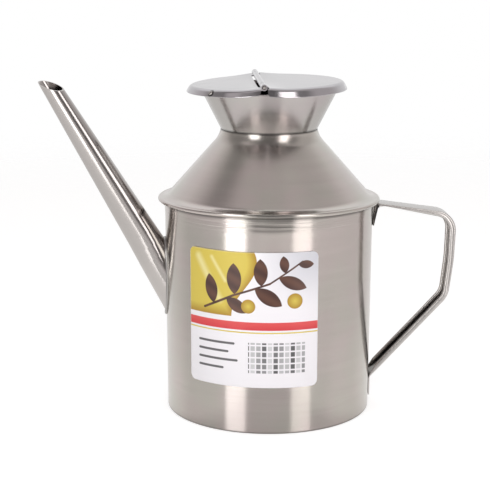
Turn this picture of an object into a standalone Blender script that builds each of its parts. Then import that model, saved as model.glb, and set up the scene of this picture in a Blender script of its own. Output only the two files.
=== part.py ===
"""Stainless steel oil cruet: a seamed can with a cone shoulder, a funnel mouth, a split
lid on a centre hinge, a long tapered spout and a pressed channel handle.

Lengths are metres and angles are radians. Z is up, the can's axis is the Z axis and the
can stands on z = 0. The handle is towards +X and the spout towards -X.
"""
import math

import bmesh
import bpy
from mathutils import Matrix, Vector

# Shared fits
joint_gap = 0.0003
cut_overrun = 0.002
merge_distance = 0.00001
sharp_angle = math.radians(35)

# Faces round each turned form
round_steps = 60
spout_steps = 36
knuckle_steps = 24
label_steps = 20
pin_steps = 20
rivet_steps = 16
dome_steps = 4
curl_steps = 7

# Can, drawn with a slight draft
can_radius = 0.04995
foot_radius = 0.0493
can_sheet = 0.00045
base_corner = 0.0006
flange_corner_round = 0.0008

# Brim seam and cone shoulder
brim_height = 0.1032
brim_overhang = 0.00325
brim_edge = 0.0012
brim_corner = 0.0004
shoulder_sheet = 0.00045
cone_foot_fillet = 0.0030
cone_rise = 0.0330
neck_arc = 0.0060
neck_collar = 0.0004
waist_radius = 0.0231

# Funnel mouth
funnel_sheet = 0.00045
funnel_half_angle = math.radians(27.0)
funnel_ledge = 0.0005
funnel_rise = 0.0201
spigot_depth = 0.0060
bead_radius = 0.0008
bead_curl = math.radians(100.0)

# Lid
lid_centre_x = -0.0013
lid_over_rim = 0.0022
lid_beyond_rim = 0.0029
lid_skirt_flare = 0.0018
lid_sheet = 0.0005
lid_edge_round = 0.0016
fixed_half_step = 0.0003
fixed_half_fall = math.radians(2.1)
fixed_skirt_drop = 0.0030
hinged_half_rise = math.radians(1.0)
hinged_skirt_drop = 0.0039

# Lid hinge
hinge_x = -0.0048
pin_radius = 0.0007
pin_show = 0.0005
pin_chamfer = 0.00015
knuckle_wall = 0.00045
knuckle_proud = 0.0001
knuckle_row_inset = 0.0004
end_knuckle = 0.0090
knuckle_side_gap = 0.0004
knuckle_slot = 0.0007
skirt_split = 0.0032
skirt_end_round = 0.0020
skirt_end_flare = 0.0018

# Rivets that hold the fixed half
rivet_angle = math.radians(42.8)
rivet_skirt_share = 0.48
rivet_head_radius = 0.0011
rivet_head_height = 0.0004
rivet_shank_radius = 0.0006
rivet_tail_height = 0.0003
ear_width = 0.0060
ear_sheet = 0.0004
ear_under_plate = 0.0005
ear_bend = 0.0006
ear_skirt_share = 0.82

# Spout
spout_lean = math.radians(30.36)
spout_axis_height = 0.0656
spout_root_radius = 0.00903
spout_half_taper = math.radians(2.42)
spout_sheet = 0.0005
spout_length = 0.1054
mouth_fall = math.radians(10.8)
mouth_skew = math.radians(13.0)
spout_hole_margin = 0.0003

# Handle
strap_width = 0.0120
strap_sheet = 0.0005
flange_depth = 0.00245
flange_lip = 0.00015
flange_corner = 0.0012
flange_inner_share = 0.8
upper_tab_foot_height = 0.0895
upper_arm_height = 0.1005
upper_arm_reach = 0.0510
upper_bend = 0.0012
grip_top_reach = 0.0909
grip_top_height = 0.0950
grip_waist_reach = 0.0899
grip_waist_height = 0.0720
grip_foot_reach = 0.0876
grip_foot_height = 0.0545
grip_top_bend = 0.0058
grip_bow = 0.0600
grip_foot_bend = 0.0110
lower_bend_height = 0.0143
lower_bend = 0.0030
lower_tab_foot_height = 0.0042
flange_run_out = 0.0090
station_spacing = 0.0045

# Paper label
label_width = 0.0638
label_height = 0.0639
label_foot_height = 0.0226
label_corner = 0.0030
label_paper = 0.00015
label_azimuth = math.radians(-103.5)

# Worked out from the sizes above
brim_radius = can_radius + brim_overhang
flange_under = brim_height - shoulder_sheet - joint_gap - can_sheet
flange_radius = brim_radius - shoulder_sheet - joint_gap
waist_height = brim_height + cone_rise
cone_foot_radius = can_radius
cone_half_angle = math.atan2(cone_foot_radius - waist_radius, cone_rise - neck_collar)
neck_corner_height = waist_height - neck_collar - neck_arc * math.tan(cone_half_angle / 2)
funnel_foot_height = waist_height + joint_gap
funnel_foot_radius = waist_radius - funnel_ledge
spigot_radius = waist_radius - shoulder_sheet - joint_gap
rim_height = waist_height + funnel_rise
bead_height = rim_height - bead_radius
curl_radius = bead_radius - funnel_sheet
funnel_spread = (bead_height - funnel_foot_height) * math.tan(funnel_half_angle)
bead_centre_radius = funnel_foot_radius + funnel_spread + curl_radius / math.cos(funnel_half_angle)
lid_top_height = rim_height + lid_over_rim
lid_top_radius = bead_centre_radius + bead_radius + lid_beyond_rim
lid_skirt_radius = lid_top_radius + lid_skirt_flare
knuckle_bore = pin_radius + joint_gap
knuckle_radius = knuckle_bore + knuckle_wall
lid_under_height = lid_top_height - lid_sheet
hinge_height = lid_under_height + knuckle_radius - knuckle_proud
hinge_point = Vector((hinge_x, 0, hinge_height))
knuckle_row = 2 * (lid_top_radius - knuckle_row_inset)
middle_knuckle = knuckle_row - 2 * (end_knuckle + knuckle_side_gap)
pin_length = knuckle_row + 2 * pin_show


def wall_radius(height):
    """The outer radius of the can's wall, which narrows towards the base."""
    return foot_radius + (can_radius - foot_radius) * height / flange_under


def clear_scene():
    for item in list(bpy.data.objects):
        bpy.data.objects.remove(item)


def new_collection(name):
    collection = bpy.data.collections.new(name)
    bpy.context.scene.collection.children.link(collection)
    return collection


def new_material(name, colour, metallic, roughness):
    material = bpy.data.materials.new(name)
    material.use_nodes = True
    shader = material.node_tree.nodes["Principled BSDF"]
    shader.inputs["Base Color"].default_value = (*colour, 1)
    shader.inputs["Metallic"].default_value = metallic
    shader.inputs["Roughness"].default_value = roughness
    return material


def new_object(name, data, collection):
    item = bpy.data.objects.new(name, data)
    collection.objects.link(item)
    return item


def rounded_path(corners, steps=4):
    """Points of a path through (u, v, radius) corners, each rounded by an arc of its radius."""
    points = []
    for index, (u, v, radius) in enumerate(corners):
        here = Vector((u, v))
        if radius == 0 or index in (0, len(corners) - 1):
            points.append(here)
            continue
        back = (Vector(corners[index - 1][:2]) - here).normalized()
        ahead = (Vector(corners[index + 1][:2]) - here).normalized()
        half_angle = back.angle(ahead) / 2
        centre = here + (back + ahead).normalized() * radius / math.sin(half_angle)
        start = here + back * radius / math.tan(half_angle) - centre
        sweep = start.angle_signed(here + ahead * radius / math.tan(half_angle) - centre)
        for step in range(steps + 1):
            points.append(centre + Matrix.Rotation(-sweep * step / steps, 2) @ start)
    return points


def profile_mesh(name, points):
    """An open line of edges in the XZ plane, for a Screw modifier."""
    mesh = bpy.data.meshes.new(name)
    edges = [(index, index + 1) for index in range(len(points) - 1)]
    mesh.from_pydata([(point[0], 0, point[1]) for point in points], edges, [])
    return mesh


def turn(item, steps=round_steps, angle=math.tau):
    screw = item.modifiers.new("Turn", "SCREW")
    screw.angle = angle
    screw.steps = steps
    screw.render_steps = steps
    screw.use_merge_vertices = True
    screw.merge_threshold = merge_distance
    screw.use_smooth_shade = True


def thicken(item, sheet):
    shell = item.modifiers.new("Sheet", "SOLIDIFY")
    shell.thickness = sheet
    shell.offset = -1
    shell.use_even_offset = True


def turned_shell(name, points, sheet, collection, angle=math.tau, steps=round_steps):
    item = new_object(name, profile_mesh(name, points), collection)
    turn(item, steps, angle)
    thicken(item, sheet)
    return item


def combine(item, other, operation):
    boolean = item.modifiers.new(operation.title(), "BOOLEAN")
    boolean.operation = operation
    boolean.object = other
    boolean.solver = "EXACT"


def hide_as_guide(item):
    item.hide_render = True
    item.display_type = "WIRE"
    return item


def bake(item):
    """Replaces an object's data by the mesh that its modifiers give."""
    graph = bpy.context.evaluated_depsgraph_get()
    mesh = bpy.data.meshes.new_from_object(item.evaluated_get(graph))
    item.modifiers.clear()
    item.data = mesh
    return item


def box_cutter(name, low, high, cutters):
    """A guide box between two corners."""
    low, high = Vector(low), Vector(high)
    mesh = bpy.data.meshes.new(name)
    shape = bmesh.new()
    bmesh.ops.create_cube(shape, size=1)
    bmesh.ops.scale(shape, vec=high - low, verts=shape.verts)
    bmesh.ops.translate(shape, vec=(low + high) / 2, verts=shape.verts)
    shape.to_mesh(mesh)
    shape.free()
    return hide_as_guide(new_object(name, mesh, cutters))


def cylinder_mesh(name, start_radius, end_radius, length, steps):
    """A closed cone or cylinder along +Z from the origin."""
    mesh = bpy.data.meshes.new(name)
    shape = bmesh.new()
    bmesh.ops.create_cone(
        shape, cap_ends=True, segments=steps, radius1=start_radius, radius2=end_radius, depth=length
    )
    bmesh.ops.translate(shape, vec=(0, 0, length / 2), verts=shape.verts)
    shape.to_mesh(mesh)
    shape.free()
    return mesh


def cylinder_guide(name, radius, length, matrix, cutters, steps=knuckle_steps):
    item = hide_as_guide(new_object(name, cylinder_mesh(name, radius, radius, length, steps), cutters))
    item.matrix_world = matrix
    return item


def flat_outline(name, points, depth, collection):
    """A flat outline in its own XY plane, filled and extruded to both sides."""
    curve = bpy.data.curves.new(name, "CURVE")
    curve.dimensions = "2D"
    curve.fill_mode = "BOTH"
    curve.extrude = depth / 2
    spline = curve.splines.new("POLY")
    spline.points.add(len(points) - 1)
    for slot, point in zip(spline.points, points):
        slot.co = (point[0], point[1], 0, 1)
    spline.use_cyclic_u = True
    item = new_object(name, curve, collection)
    mesh = bpy.data.meshes.new_from_object(item.evaluated_get(bpy.context.evaluated_depsgraph_get()))
    shape = bmesh.new()
    shape.from_mesh(mesh)
    bmesh.ops.remove_doubles(shape, verts=shape.verts, dist=merge_distance)
    shape.to_mesh(mesh)
    shape.free()
    bpy.data.objects.remove(item)
    return new_object(name, mesh, collection)


def strip_outline(path, sheet):
    """A closed outline of a sheet whose outer face follows the path, thickened to its left."""
    inner = []
    for index, point in enumerate(path):
        before = path[max(index - 1, 0)]
        after = path[min(index + 1, len(path) - 1)]
        along = (after - before).normalized()
        inner.append(point + Vector((-along.y, along.x)) * sheet)
    return list(path) + inner[::-1]


def finish(item, material):
    item.data.materials.clear()
    item.data.materials.append(material)
    item.data.shade_smooth()
    item.data.set_sharp_from_angle(angle=sharp_angle)
    return item


def spout_frame(along):
    """A frame on the spout's axis, with Z up the spout; along is counted from the can's wall."""
    root = Vector((-wall_radius(spout_axis_height), 0, spout_axis_height))
    turn_back = Matrix.Rotation(-spout_lean, 4, "Y")
    return Matrix.Translation(root) @ turn_back @ Matrix.Translation((0, 0, along))


def spout_radius(along):
    return spout_root_radius - along * math.tan(spout_half_taper)


def build_can(parts, cutters, material):
    """The drawn cup, with its floor and the flange that the brim is seamed over."""
    profile = rounded_path([
        (flange_radius, flange_under, 0),
        (can_radius, flange_under, flange_corner_round),
        (foot_radius, 0, base_corner),
        (0, 0, 0),
    ])
    can = turned_shell("body_cup", profile, can_sheet, parts)
    reach = 2 * spout_root_radius
    bore = spout_radius(-reach) - spout_sheet - spout_hole_margin
    bore_end = spout_radius(reach) - spout_sheet - spout_hole_margin
    hole = new_object("spout_hole", cylinder_mesh("spout_hole", bore, bore_end, 2 * reach, spout_steps), cutters)
    hide_as_guide(hole).matrix_world = spout_frame(-reach)
    bpy.context.view_layer.update()
    combine(can, hole, "DIFFERENCE")
    return finish(bake(can), material)


def build_shoulder(parts, material):
    """The spun shoulder: a brim turned down over the can's flange, a cone and a neck."""
    profile = rounded_path([
        (waist_radius, waist_height, 0),
        (waist_radius, neck_corner_height, neck_arc),
        (cone_foot_radius, brim_height, cone_foot_fillet),
        (brim_radius, brim_height, brim_corner),
        (brim_radius, brim_height - brim_edge, 0),
    ])
    shoulder = turned_shell("shoulder_cone", profile, shoulder_sheet, parts)
    return finish(bake(shoulder), material)


class LidHalf:
    """The sizes in which the two halves of the lid differ."""

    def __init__(self, side, top, drop, tilt):
        self.side = side
        self.top = top
        self.drop = drop
        self.tilt = tilt

    def on_skirt(self, share):
        """The skirt's outer face as radius and height, from its top corner to its lower edge."""
        radius = lid_top_radius + (lid_skirt_radius - lid_top_radius) * share
        return Vector((radius, self.top - self.drop * share))

    def skirt_slope(self):
        return math.atan2(self.drop, lid_skirt_radius - lid_top_radius)

    def matrix(self):
        """Moves what is drawn on the untilted lid to where this half has it."""
        turn_half = Matrix.Rotation(self.tilt, 4, "Y")
        return Matrix.Translation(hinge_point) @ turn_half @ Matrix.Translation(-hinge_point)


fixed_half = LidHalf(-1, lid_top_height - fixed_half_step, fixed_skirt_drop, -fixed_half_fall)
hinged_half = LidHalf(1, lid_top_height, hinged_skirt_drop, -hinged_half_rise)


def rivet_stand(side):
    """A frame in the fixed half, on the lid's axis, with X towards one of the rivets."""
    centre = Matrix.Translation((lid_centre_x, 0, 0))
    return fixed_half.matrix() @ centre @ Matrix.Rotation(math.pi + side * rivet_angle, 4, "Z")


def rivet_frame(side):
    """A frame on the fixed half's skirt, with Z out of the sheet."""
    radius, height = fixed_half.on_skirt(rivet_skirt_share)
    seat = Matrix.Translation((radius, 0, height)) @ Matrix.Rotation(fixed_half.skirt_slope(), 4, "Y")
    return rivet_stand(side) @ seat


def build_ear(side, cutters):
    """A tab of the funnel's rim that reaches out to the fixed half's skirt."""
    slope = fixed_half.skirt_slope()
    slant = Vector((math.cos(slope), -math.sin(slope)))
    inward = Vector((slant.y, -slant.x)) * (lid_sheet + joint_gap)
    top = fixed_half.top - lid_sheet - ear_under_plate
    corner = fixed_half.on_skirt(0) + inward
    bend = corner + slant * ((top - corner.y) / slant.y)
    foot = fixed_half.on_skirt(ear_skirt_share) + inward
    root = bead_centre_radius - abs(lid_centre_x) * math.cos(rivet_angle)
    path = rounded_path([(foot.x, foot.y, 0), (bend.x, bend.y, ear_bend), (root, top, 0)])
    ear = flat_outline("ear", strip_outline(path, ear_sheet), ear_width, cutters)
    ear.matrix_world = rivet_stand(side) @ Matrix.Rotation(math.pi / 2, 4, "X")
    return hide_as_guide(ear)


def build_funnel(parts, cutters, material):
    """The inverted cone, with a spigot in the neck, a rolled rim and two ears for the lid."""
    first = -bead_curl
    last = math.pi - funnel_half_angle
    profile = []
    for step in range(curl_steps + 1):
        angle = first + (last - first) * step / curl_steps
        profile.append((
            bead_centre_radius + curl_radius * math.cos(angle),
            bead_height + curl_radius * math.sin(angle),
        ))
    profile.append((funnel_foot_radius, funnel_foot_height))
    profile.append((spigot_radius, funnel_foot_height))
    profile.append((spigot_radius, waist_height - spigot_depth))
    funnel = turned_shell("funnel_mouth", profile, funnel_sheet, parts)
    for side in (-1, 1):
        combine(funnel, build_ear(side, cutters), "UNION")
    for side in (-1, 1):
        combine(funnel, rivet_hole(side, cutters), "DIFFERENCE")
    return finish(bake(funnel), material)


def rivet_hole(side, cutters):
    depth = lid_sheet + ear_sheet + 2 * joint_gap
    start = rivet_frame(side) @ Matrix.Translation((0, 0, -depth - cut_overrun))
    radius = rivet_shank_radius + joint_gap
    return cylinder_guide("rivet_hole", radius, depth + 2 * cut_overrun, start, cutters, rivet_steps)


def knuckle_spans(fixed):
    """Where a half's own knuckles lie along the hinge, as (low, high) pairs."""
    half = middle_knuckle / 2
    if not fixed:
        return [(-half, half)]
    start = half + knuckle_side_gap
    return [(-knuckle_row / 2, -start), (start, knuckle_row / 2)]


def along_hinge(low):
    return Matrix.Translation((hinge_x, low, hinge_height)) @ Matrix.Rotation(-math.pi / 2, 4, "X")


def skirt_split_cutter(foot, cutters):
    """The gap between the two skirts, which widens with a round corner at their lower edge."""
    half = skirt_split / 2
    side = [
        (half, hinge_height + knuckle_radius, 0),
        (half, foot, skirt_end_round),
        (half + skirt_end_round + skirt_end_flare, foot, 0),
        (half + skirt_end_round + skirt_end_flare, foot - cut_overrun, 0),
    ]
    right = rounded_path(side)
    left = [Vector((-point.x, point.y)) for point in reversed(right)]
    points = [Vector((point.x + hinge_x, point.y)) for point in right + left]
    width = 2 * (lid_skirt_radius + cut_overrun)
    cutter = flat_outline("skirt_split", points, width, cutters)
    cutter.matrix_world = Matrix.Rotation(math.pi / 2, 4, "X")
    return hide_as_guide(cutter)


def cut_lid_half(item, half, cutters):
    """Cuts a whole lid down to one half, with room for the other half's knuckles."""
    reach = lid_skirt_radius + abs(lid_centre_x) + abs(hinge_x) + cut_overrun
    foot = half.top - half.drop
    low = foot - cut_overrun
    high = half.top + cut_overrun
    far = hinge_x - half.side * reach
    clear = hinge_x + half.side * (knuckle_radius + knuckle_slot)
    rooms = [(hinge_x, -reach, reach)]
    for start, end in knuckle_spans(half is hinged_half):
        rooms.append((clear, start - knuckle_side_gap, end + knuckle_side_gap))
    for edge, start, end in rooms:
        corners = (min(far, edge), start, low), (max(far, edge), end, high)
        combine(item, box_cutter("lid_room", *corners, cutters), "DIFFERENCE")
    split = skirt_split_cutter(foot, cutters)
    row_end = knuckle_row / 2
    corners = (hinge_x - reach, -row_end, low - cut_overrun), (hinge_x + reach, row_end, high + cut_overrun)
    combine(split, box_cutter("knuckle_row", *corners, cutters), "DIFFERENCE")
    combine(item, split, "DIFFERENCE")


def build_lid_half(name, half, parts, cutters, material):
    """Half of the round lid: plate, rounded edge, skirt and its share of the knuckles."""
    edge, foot = half.on_skirt(0), half.on_skirt(1)
    profile = rounded_path([(0, half.top, 0), (edge.x, edge.y, lid_edge_round), (foot.x, foot.y, 0)])
    item = turned_shell(name, profile, lid_sheet, parts)
    item.location.x = lid_centre_x
    bpy.context.view_layer.update()
    cut_lid_half(item, half, cutters)
    for start, end in knuckle_spans(half is fixed_half):
        barrel = cylinder_guide("knuckle", knuckle_radius, end - start, along_hinge(start), cutters)
        combine(item, barrel, "UNION")
    bore_start = -knuckle_row / 2 - cut_overrun
    bore = cylinder_guide("pin_bore", knuckle_bore, -2 * bore_start, along_hinge(bore_start), cutters)
    combine(item, bore, "DIFFERENCE")
    bpy.context.view_layer.update()
    bake(item)
    item.data.transform(item.matrix_world)
    item.data.transform(Matrix.Translation(-hinge_point))
    item.location = hinge_point
    item.rotation_euler.y = half.tilt
    bpy.context.view_layer.update()
    if half is fixed_half:
        for side in (-1, 1):
            combine(item, rivet_hole(side, cutters), "DIFFERENCE")
        bake(item)
    return finish(item, material)


def build_pin(parts, material):
    """The hinge pin, which shows a little at both ends of the row of knuckles."""
    pin = new_object("hinge_pin", cylinder_mesh("hinge_pin", pin_radius, pin_radius, pin_length, pin_steps), parts)
    pin.matrix_world = along_hinge(-pin_length / 2)
    bevel = pin.modifiers.new("Ends", "BEVEL")
    bevel.width = pin_chamfer
    bevel.segments = 1
    bevel.limit_method = "ANGLE"
    bpy.context.view_layer.update()
    return finish(bake(pin), material)


def build_rivet(name, side, parts, material):
    """A dome-headed rivet through the fixed half's skirt and one of the funnel's ears."""
    grip = lid_sheet + ear_sheet + 2 * joint_gap
    head = joint_gap
    profile = [Vector((0, head + rivet_head_height))]
    profile += [Vector((
        rivet_head_radius * math.sin(math.pi / 2 * step / dome_steps),
        head + rivet_head_height * math.cos(math.pi / 2 * step / dome_steps),
    )) for step in range(1, dome_steps + 1)]
    profile.append(Vector((rivet_shank_radius, head)))
    profile.append(Vector((rivet_shank_radius, -grip)))
    profile.append(Vector((rivet_head_radius, -grip)))
    profile.append(Vector((rivet_head_radius, -grip - rivet_tail_height)))
    profile.append(Vector((0, -grip - rivet_tail_height)))
    rivet = new_object(name, profile_mesh(name, profile), parts)
    turn(rivet, rivet_steps)
    rivet.matrix_world = rivet_frame(side)
    bpy.context.view_layer.update()
    return finish(bake(rivet), material)


def build_spout(parts, cutters, material):
    """The tapered tube, saddle-cut to the can's wall and cut off askew at the mouth."""
    start = -3 * spout_root_radius
    end = spout_length + 2 * spout_root_radius
    profile = [(spout_radius(end), end), (spout_radius(start), start)]
    spout = turned_shell("spout_tube", profile, spout_sheet, parts, steps=spout_steps)
    spout.matrix_world = spout_frame(0)
    foot = foot_radius + joint_gap
    top = wall_radius(brim_height) + joint_gap
    saddle = new_object("saddle", cylinder_mesh("saddle", foot, top, brim_height, 2 * round_steps), cutters)
    hide_as_guide(saddle)
    room = 2 * spout_length
    tip = box_cutter("tip_cut", (-room, -room, 0), (room, room, room), cutters)
    point = spout_frame(spout_length).translation
    normal = Vector((math.tan(mouth_fall), -math.tan(mouth_skew), 1))
    tip.matrix_world = Matrix.Translation(point) @ normal.to_track_quat("Z", "Y").to_matrix().to_4x4()
    bpy.context.view_layer.update()
    combine(spout, saddle, "DIFFERENCE")
    combine(spout, tip, "DIFFERENCE")
    return finish(bake(spout), material)


def strap_path():
    """The outer face of the handle's web in the XZ plane, from the upper tab to the lower one."""
    tab_face = joint_gap + strap_sheet
    return rounded_path([
        (wall_radius(upper_tab_foot_height) + joint_gap, upper_tab_foot_height, 0),
        (upper_arm_reach, upper_arm_height, upper_bend),
        (grip_top_reach, grip_top_height, grip_top_bend),
        (grip_waist_reach, grip_waist_height, grip_bow),
        (grip_foot_reach, grip_foot_height, grip_foot_bend),
        (wall_radius(lower_bend_height) + tab_face, lower_bend_height, lower_bend),
        (wall_radius(lower_tab_foot_height) + tab_face, lower_tab_foot_height, 0),
    ], steps=6)


def strap_section(depth):
    """The handle's channel section as (across, inward) points round a closed outline."""
    half = strap_width / 2
    outer = min(flange_corner, depth - flange_lip / 2)
    inner_room = depth - strap_sheet
    inner = min(max(flange_corner - strap_sheet, flange_lip / 2), inner_room * flange_inner_share)
    right_outer = rounded_path([(half, depth, 0), (half, 0, outer), (0, 0, 0)], 3)[:-1]
    right_inner = rounded_path(
        [(0, strap_sheet, 0), (half - strap_sheet, strap_sheet, inner), (half - strap_sheet, depth, 0)], 3
    )[1:]
    right = right_inner + right_outer
    left = [Vector((-point.x, point.y)) for point in reversed(right)]
    return left + right


def flange_depth_at(along, arm_start, arm_end, total):
    """How deep the flanges are at a place along the strap: shallow on both tabs."""
    least = strap_sheet + flange_lip
    if along <= arm_start or along >= total:
        return least
    rising = (along - arm_start) / (arm_end - arm_start)
    falling = (total - along) / flange_run_out
    share = max(0, min(1, rising, falling))
    return least + (flange_depth - least) * share


def wall_follow_at(along, tab_end, tab_start):
    """How far the strap is curved to the can: wholly on the tabs, not at all on the grip."""
    upper = 1 - along / tab_end
    lower = 1 - (tab_start - along) / flange_run_out
    return max(0, min(1, max(upper, lower)))


def build_handle(parts, material):
    """The pressed strap: a channel on grip and arms, with thin tabs curved to the wall."""
    path = strap_path()
    stations = []
    for before, after in zip(path, path[1:]):
        pieces = max(1, round((after - before).length / station_spacing))
        stations += [before.lerp(after, step / pieces) for step in range(pieces)]
    stations.append(path[-1])
    lengths = [0]
    for before, after in zip(stations, stations[1:]):
        lengths.append(lengths[-1] + (after - before).length)
    wall_tab = lower_bend_height - lower_tab_foot_height
    arm_start = upper_arm_height - upper_tab_foot_height
    arm_end = arm_start + grip_top_reach - upper_arm_reach
    tab_start = lengths[-1] - wall_tab
    wall_curve = foot_radius + joint_gap
    shape = bmesh.new()
    rings = []
    for index, point in enumerate(stations):
        before = stations[max(index - 1, 0)]
        after = stations[min(index + 1, len(stations) - 1)]
        along = (after - before).normalized()
        inward = Vector((along.y, -along.x))
        depth = flange_depth_at(lengths[index], arm_start, arm_end, tab_start)
        follow = wall_follow_at(lengths[index], arm_start, tab_start)
        ring = []
        for across, inset in strap_section(depth):
            place = point + inward * inset
            sag = wall_curve - math.sqrt(wall_curve ** 2 - across ** 2)
            ring.append(shape.verts.new((place.x - sag * follow, across, place.y)))
        rings.append(ring)
    count = len(rings[0])
    for lower, upper in zip(rings, rings[1:]):
        for index in range(count):
            following = (index + 1) % count
            shape.faces.new((lower[index], lower[following], upper[following], upper[index]))
    shape.faces.new(rings[0][::-1])
    shape.faces.new(rings[-1])
    bmesh.ops.recalc_face_normals(shape, faces=shape.faces)
    mesh = bpy.data.meshes.new("handle_strap")
    shape.to_mesh(mesh)
    shape.free()
    return finish(new_object("handle_strap", mesh, parts), material)


def build_label(parts, cutters, material):
    """The paper label, a thin rounded patch that follows the can's wall."""
    outer = wall_radius(label_foot_height + label_height / 2) + joint_gap + label_paper
    half_angle = label_width / outer / 2
    spare = half_angle + label_corner / outer
    ends = (label_foot_height + label_height + label_corner, label_foot_height - label_corner)
    profile = [(wall_radius(height) + joint_gap + label_paper, height) for height in ends]
    label = turned_shell("paper_label", profile, label_paper, parts, 2 * spare, label_steps)
    label.rotation_euler.z = label_azimuth - spare
    half_chord = outer * math.sin(half_angle)
    outline = rounded_path([
        (0, 0, 0),
        (half_chord, 0, label_corner),
        (half_chord, label_height, label_corner),
        (-half_chord, label_height, label_corner),
        (-half_chord, 0, label_corner),
        (0, 0, 0),
    ])[:-1]
    stencil = flat_outline("label_stencil", outline, 2 * can_radius, cutters)
    turn_to_wall = Matrix.Rotation(label_azimuth + math.pi / 2, 4, "Z")
    stand = Matrix.Translation((0, -can_radius, label_foot_height)) @ Matrix.Rotation(math.pi / 2, 4, "X")
    stencil.matrix_world = turn_to_wall @ stand
    hide_as_guide(stencil)
    bpy.context.view_layer.update()
    combine(label, stencil, "INTERSECT")
    return finish(bake(label), material)


def main():
    clear_scene()
    parts = new_collection("oil_cruet")
    cutters = new_collection("cutters")
    wall_steel = new_material("brushed_steel", (0.56, 0.54, 0.53), 1, 0.28)
    lid_steel = new_material("lid_steel", (0.66, 0.65, 0.66), 1, 0.32)
    trim_steel = new_material("trim_steel", (0.62, 0.61, 0.60), 1, 0.22)
    paper = new_material("label_paper", (0.88, 0.87, 0.85), 0, 0.55)
    build_can(parts, cutters, wall_steel)
    build_shoulder(parts, wall_steel)
    build_funnel(parts, cutters, wall_steel)
    build_lid_half("fixed_lid_half", fixed_half, parts, cutters, lid_steel)
    build_lid_half("hinged_lid_half", hinged_half, parts, cutters, lid_steel)
    build_pin(parts, trim_steel)
    build_rivet("lid_rivet_front", 1, parts, trim_steel)
    build_rivet("lid_rivet_back", -1, parts, trim_steel)
    build_spout(parts, cutters, wall_steel)
    build_handle(parts, wall_steel)
    build_label(parts, cutters, paper)


main()
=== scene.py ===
"""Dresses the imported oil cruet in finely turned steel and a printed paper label, and lights it."""
import math
from functools import reduce

import bmesh
import bpy
from bpy.props import FloatProperty, FloatVectorProperty, IntProperty, PointerProperty
from mathutils import Matrix, Vector


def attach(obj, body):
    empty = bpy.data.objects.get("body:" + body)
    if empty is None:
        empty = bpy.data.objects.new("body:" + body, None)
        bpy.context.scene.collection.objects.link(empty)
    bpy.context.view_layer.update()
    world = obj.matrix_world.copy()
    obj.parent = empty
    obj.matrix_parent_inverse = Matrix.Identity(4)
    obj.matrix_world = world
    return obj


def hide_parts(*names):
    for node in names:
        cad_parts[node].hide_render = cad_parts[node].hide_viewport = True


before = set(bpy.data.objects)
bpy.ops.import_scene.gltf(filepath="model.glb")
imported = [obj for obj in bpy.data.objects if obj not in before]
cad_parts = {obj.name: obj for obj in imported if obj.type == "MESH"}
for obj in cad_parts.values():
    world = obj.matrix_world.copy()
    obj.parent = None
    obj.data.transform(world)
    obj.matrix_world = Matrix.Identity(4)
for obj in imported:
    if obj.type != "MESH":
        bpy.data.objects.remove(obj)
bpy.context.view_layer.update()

bl_info = {
    "name": "Oil Cruet",
    "version": (1, 0, 0),
    "blender": (4, 5, 0),
    "location": "3D View > Sidebar > Oil Cruet",
    "description": "Builds the visible pieces of a stainless steel oil cruet round its fixed frame",
    "category": "Object",
}

VESSEL = "vessel"
LID = "lid"

# Working limits of the mesh code
MERGE = 0.000001
OVERRUN = 0.002
BRIM_ZONE = 0.010
EDGE_RING = 0.00015
SHARP_ANGLE = math.radians(32)
SPOUT_HOLE_FACES = 64
KNUCKLE_FACES = 48
RIVET_HOLE_FACES = 24
# Name of the mesh attribute that holds the handle's painted shade.
PAINTED_SHADE = "painted_shade"


def size(name, default, description):
    return FloatProperty(name=name, default=default, description=description, unit="LENGTH", precision=5)


def angle(name, degrees, description):
    return FloatProperty(name=name, default=math.radians(degrees), description=description, subtype="ANGLE")


def share(name, default, description):
    return FloatProperty(name=name, default=default, description=description, min=0, subtype="FACTOR")


def power(name, default, description):
    return FloatProperty(name=name, default=default, description=description, unit="POWER")


def count(name, default, description):
    return IntProperty(name=name, default=default, description=description, min=1)


def colour(name, default, description):
    return FloatVectorProperty(
        name=name, default=default, description=description, subtype="COLOR", size=3, min=0, max=1
    )


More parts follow.
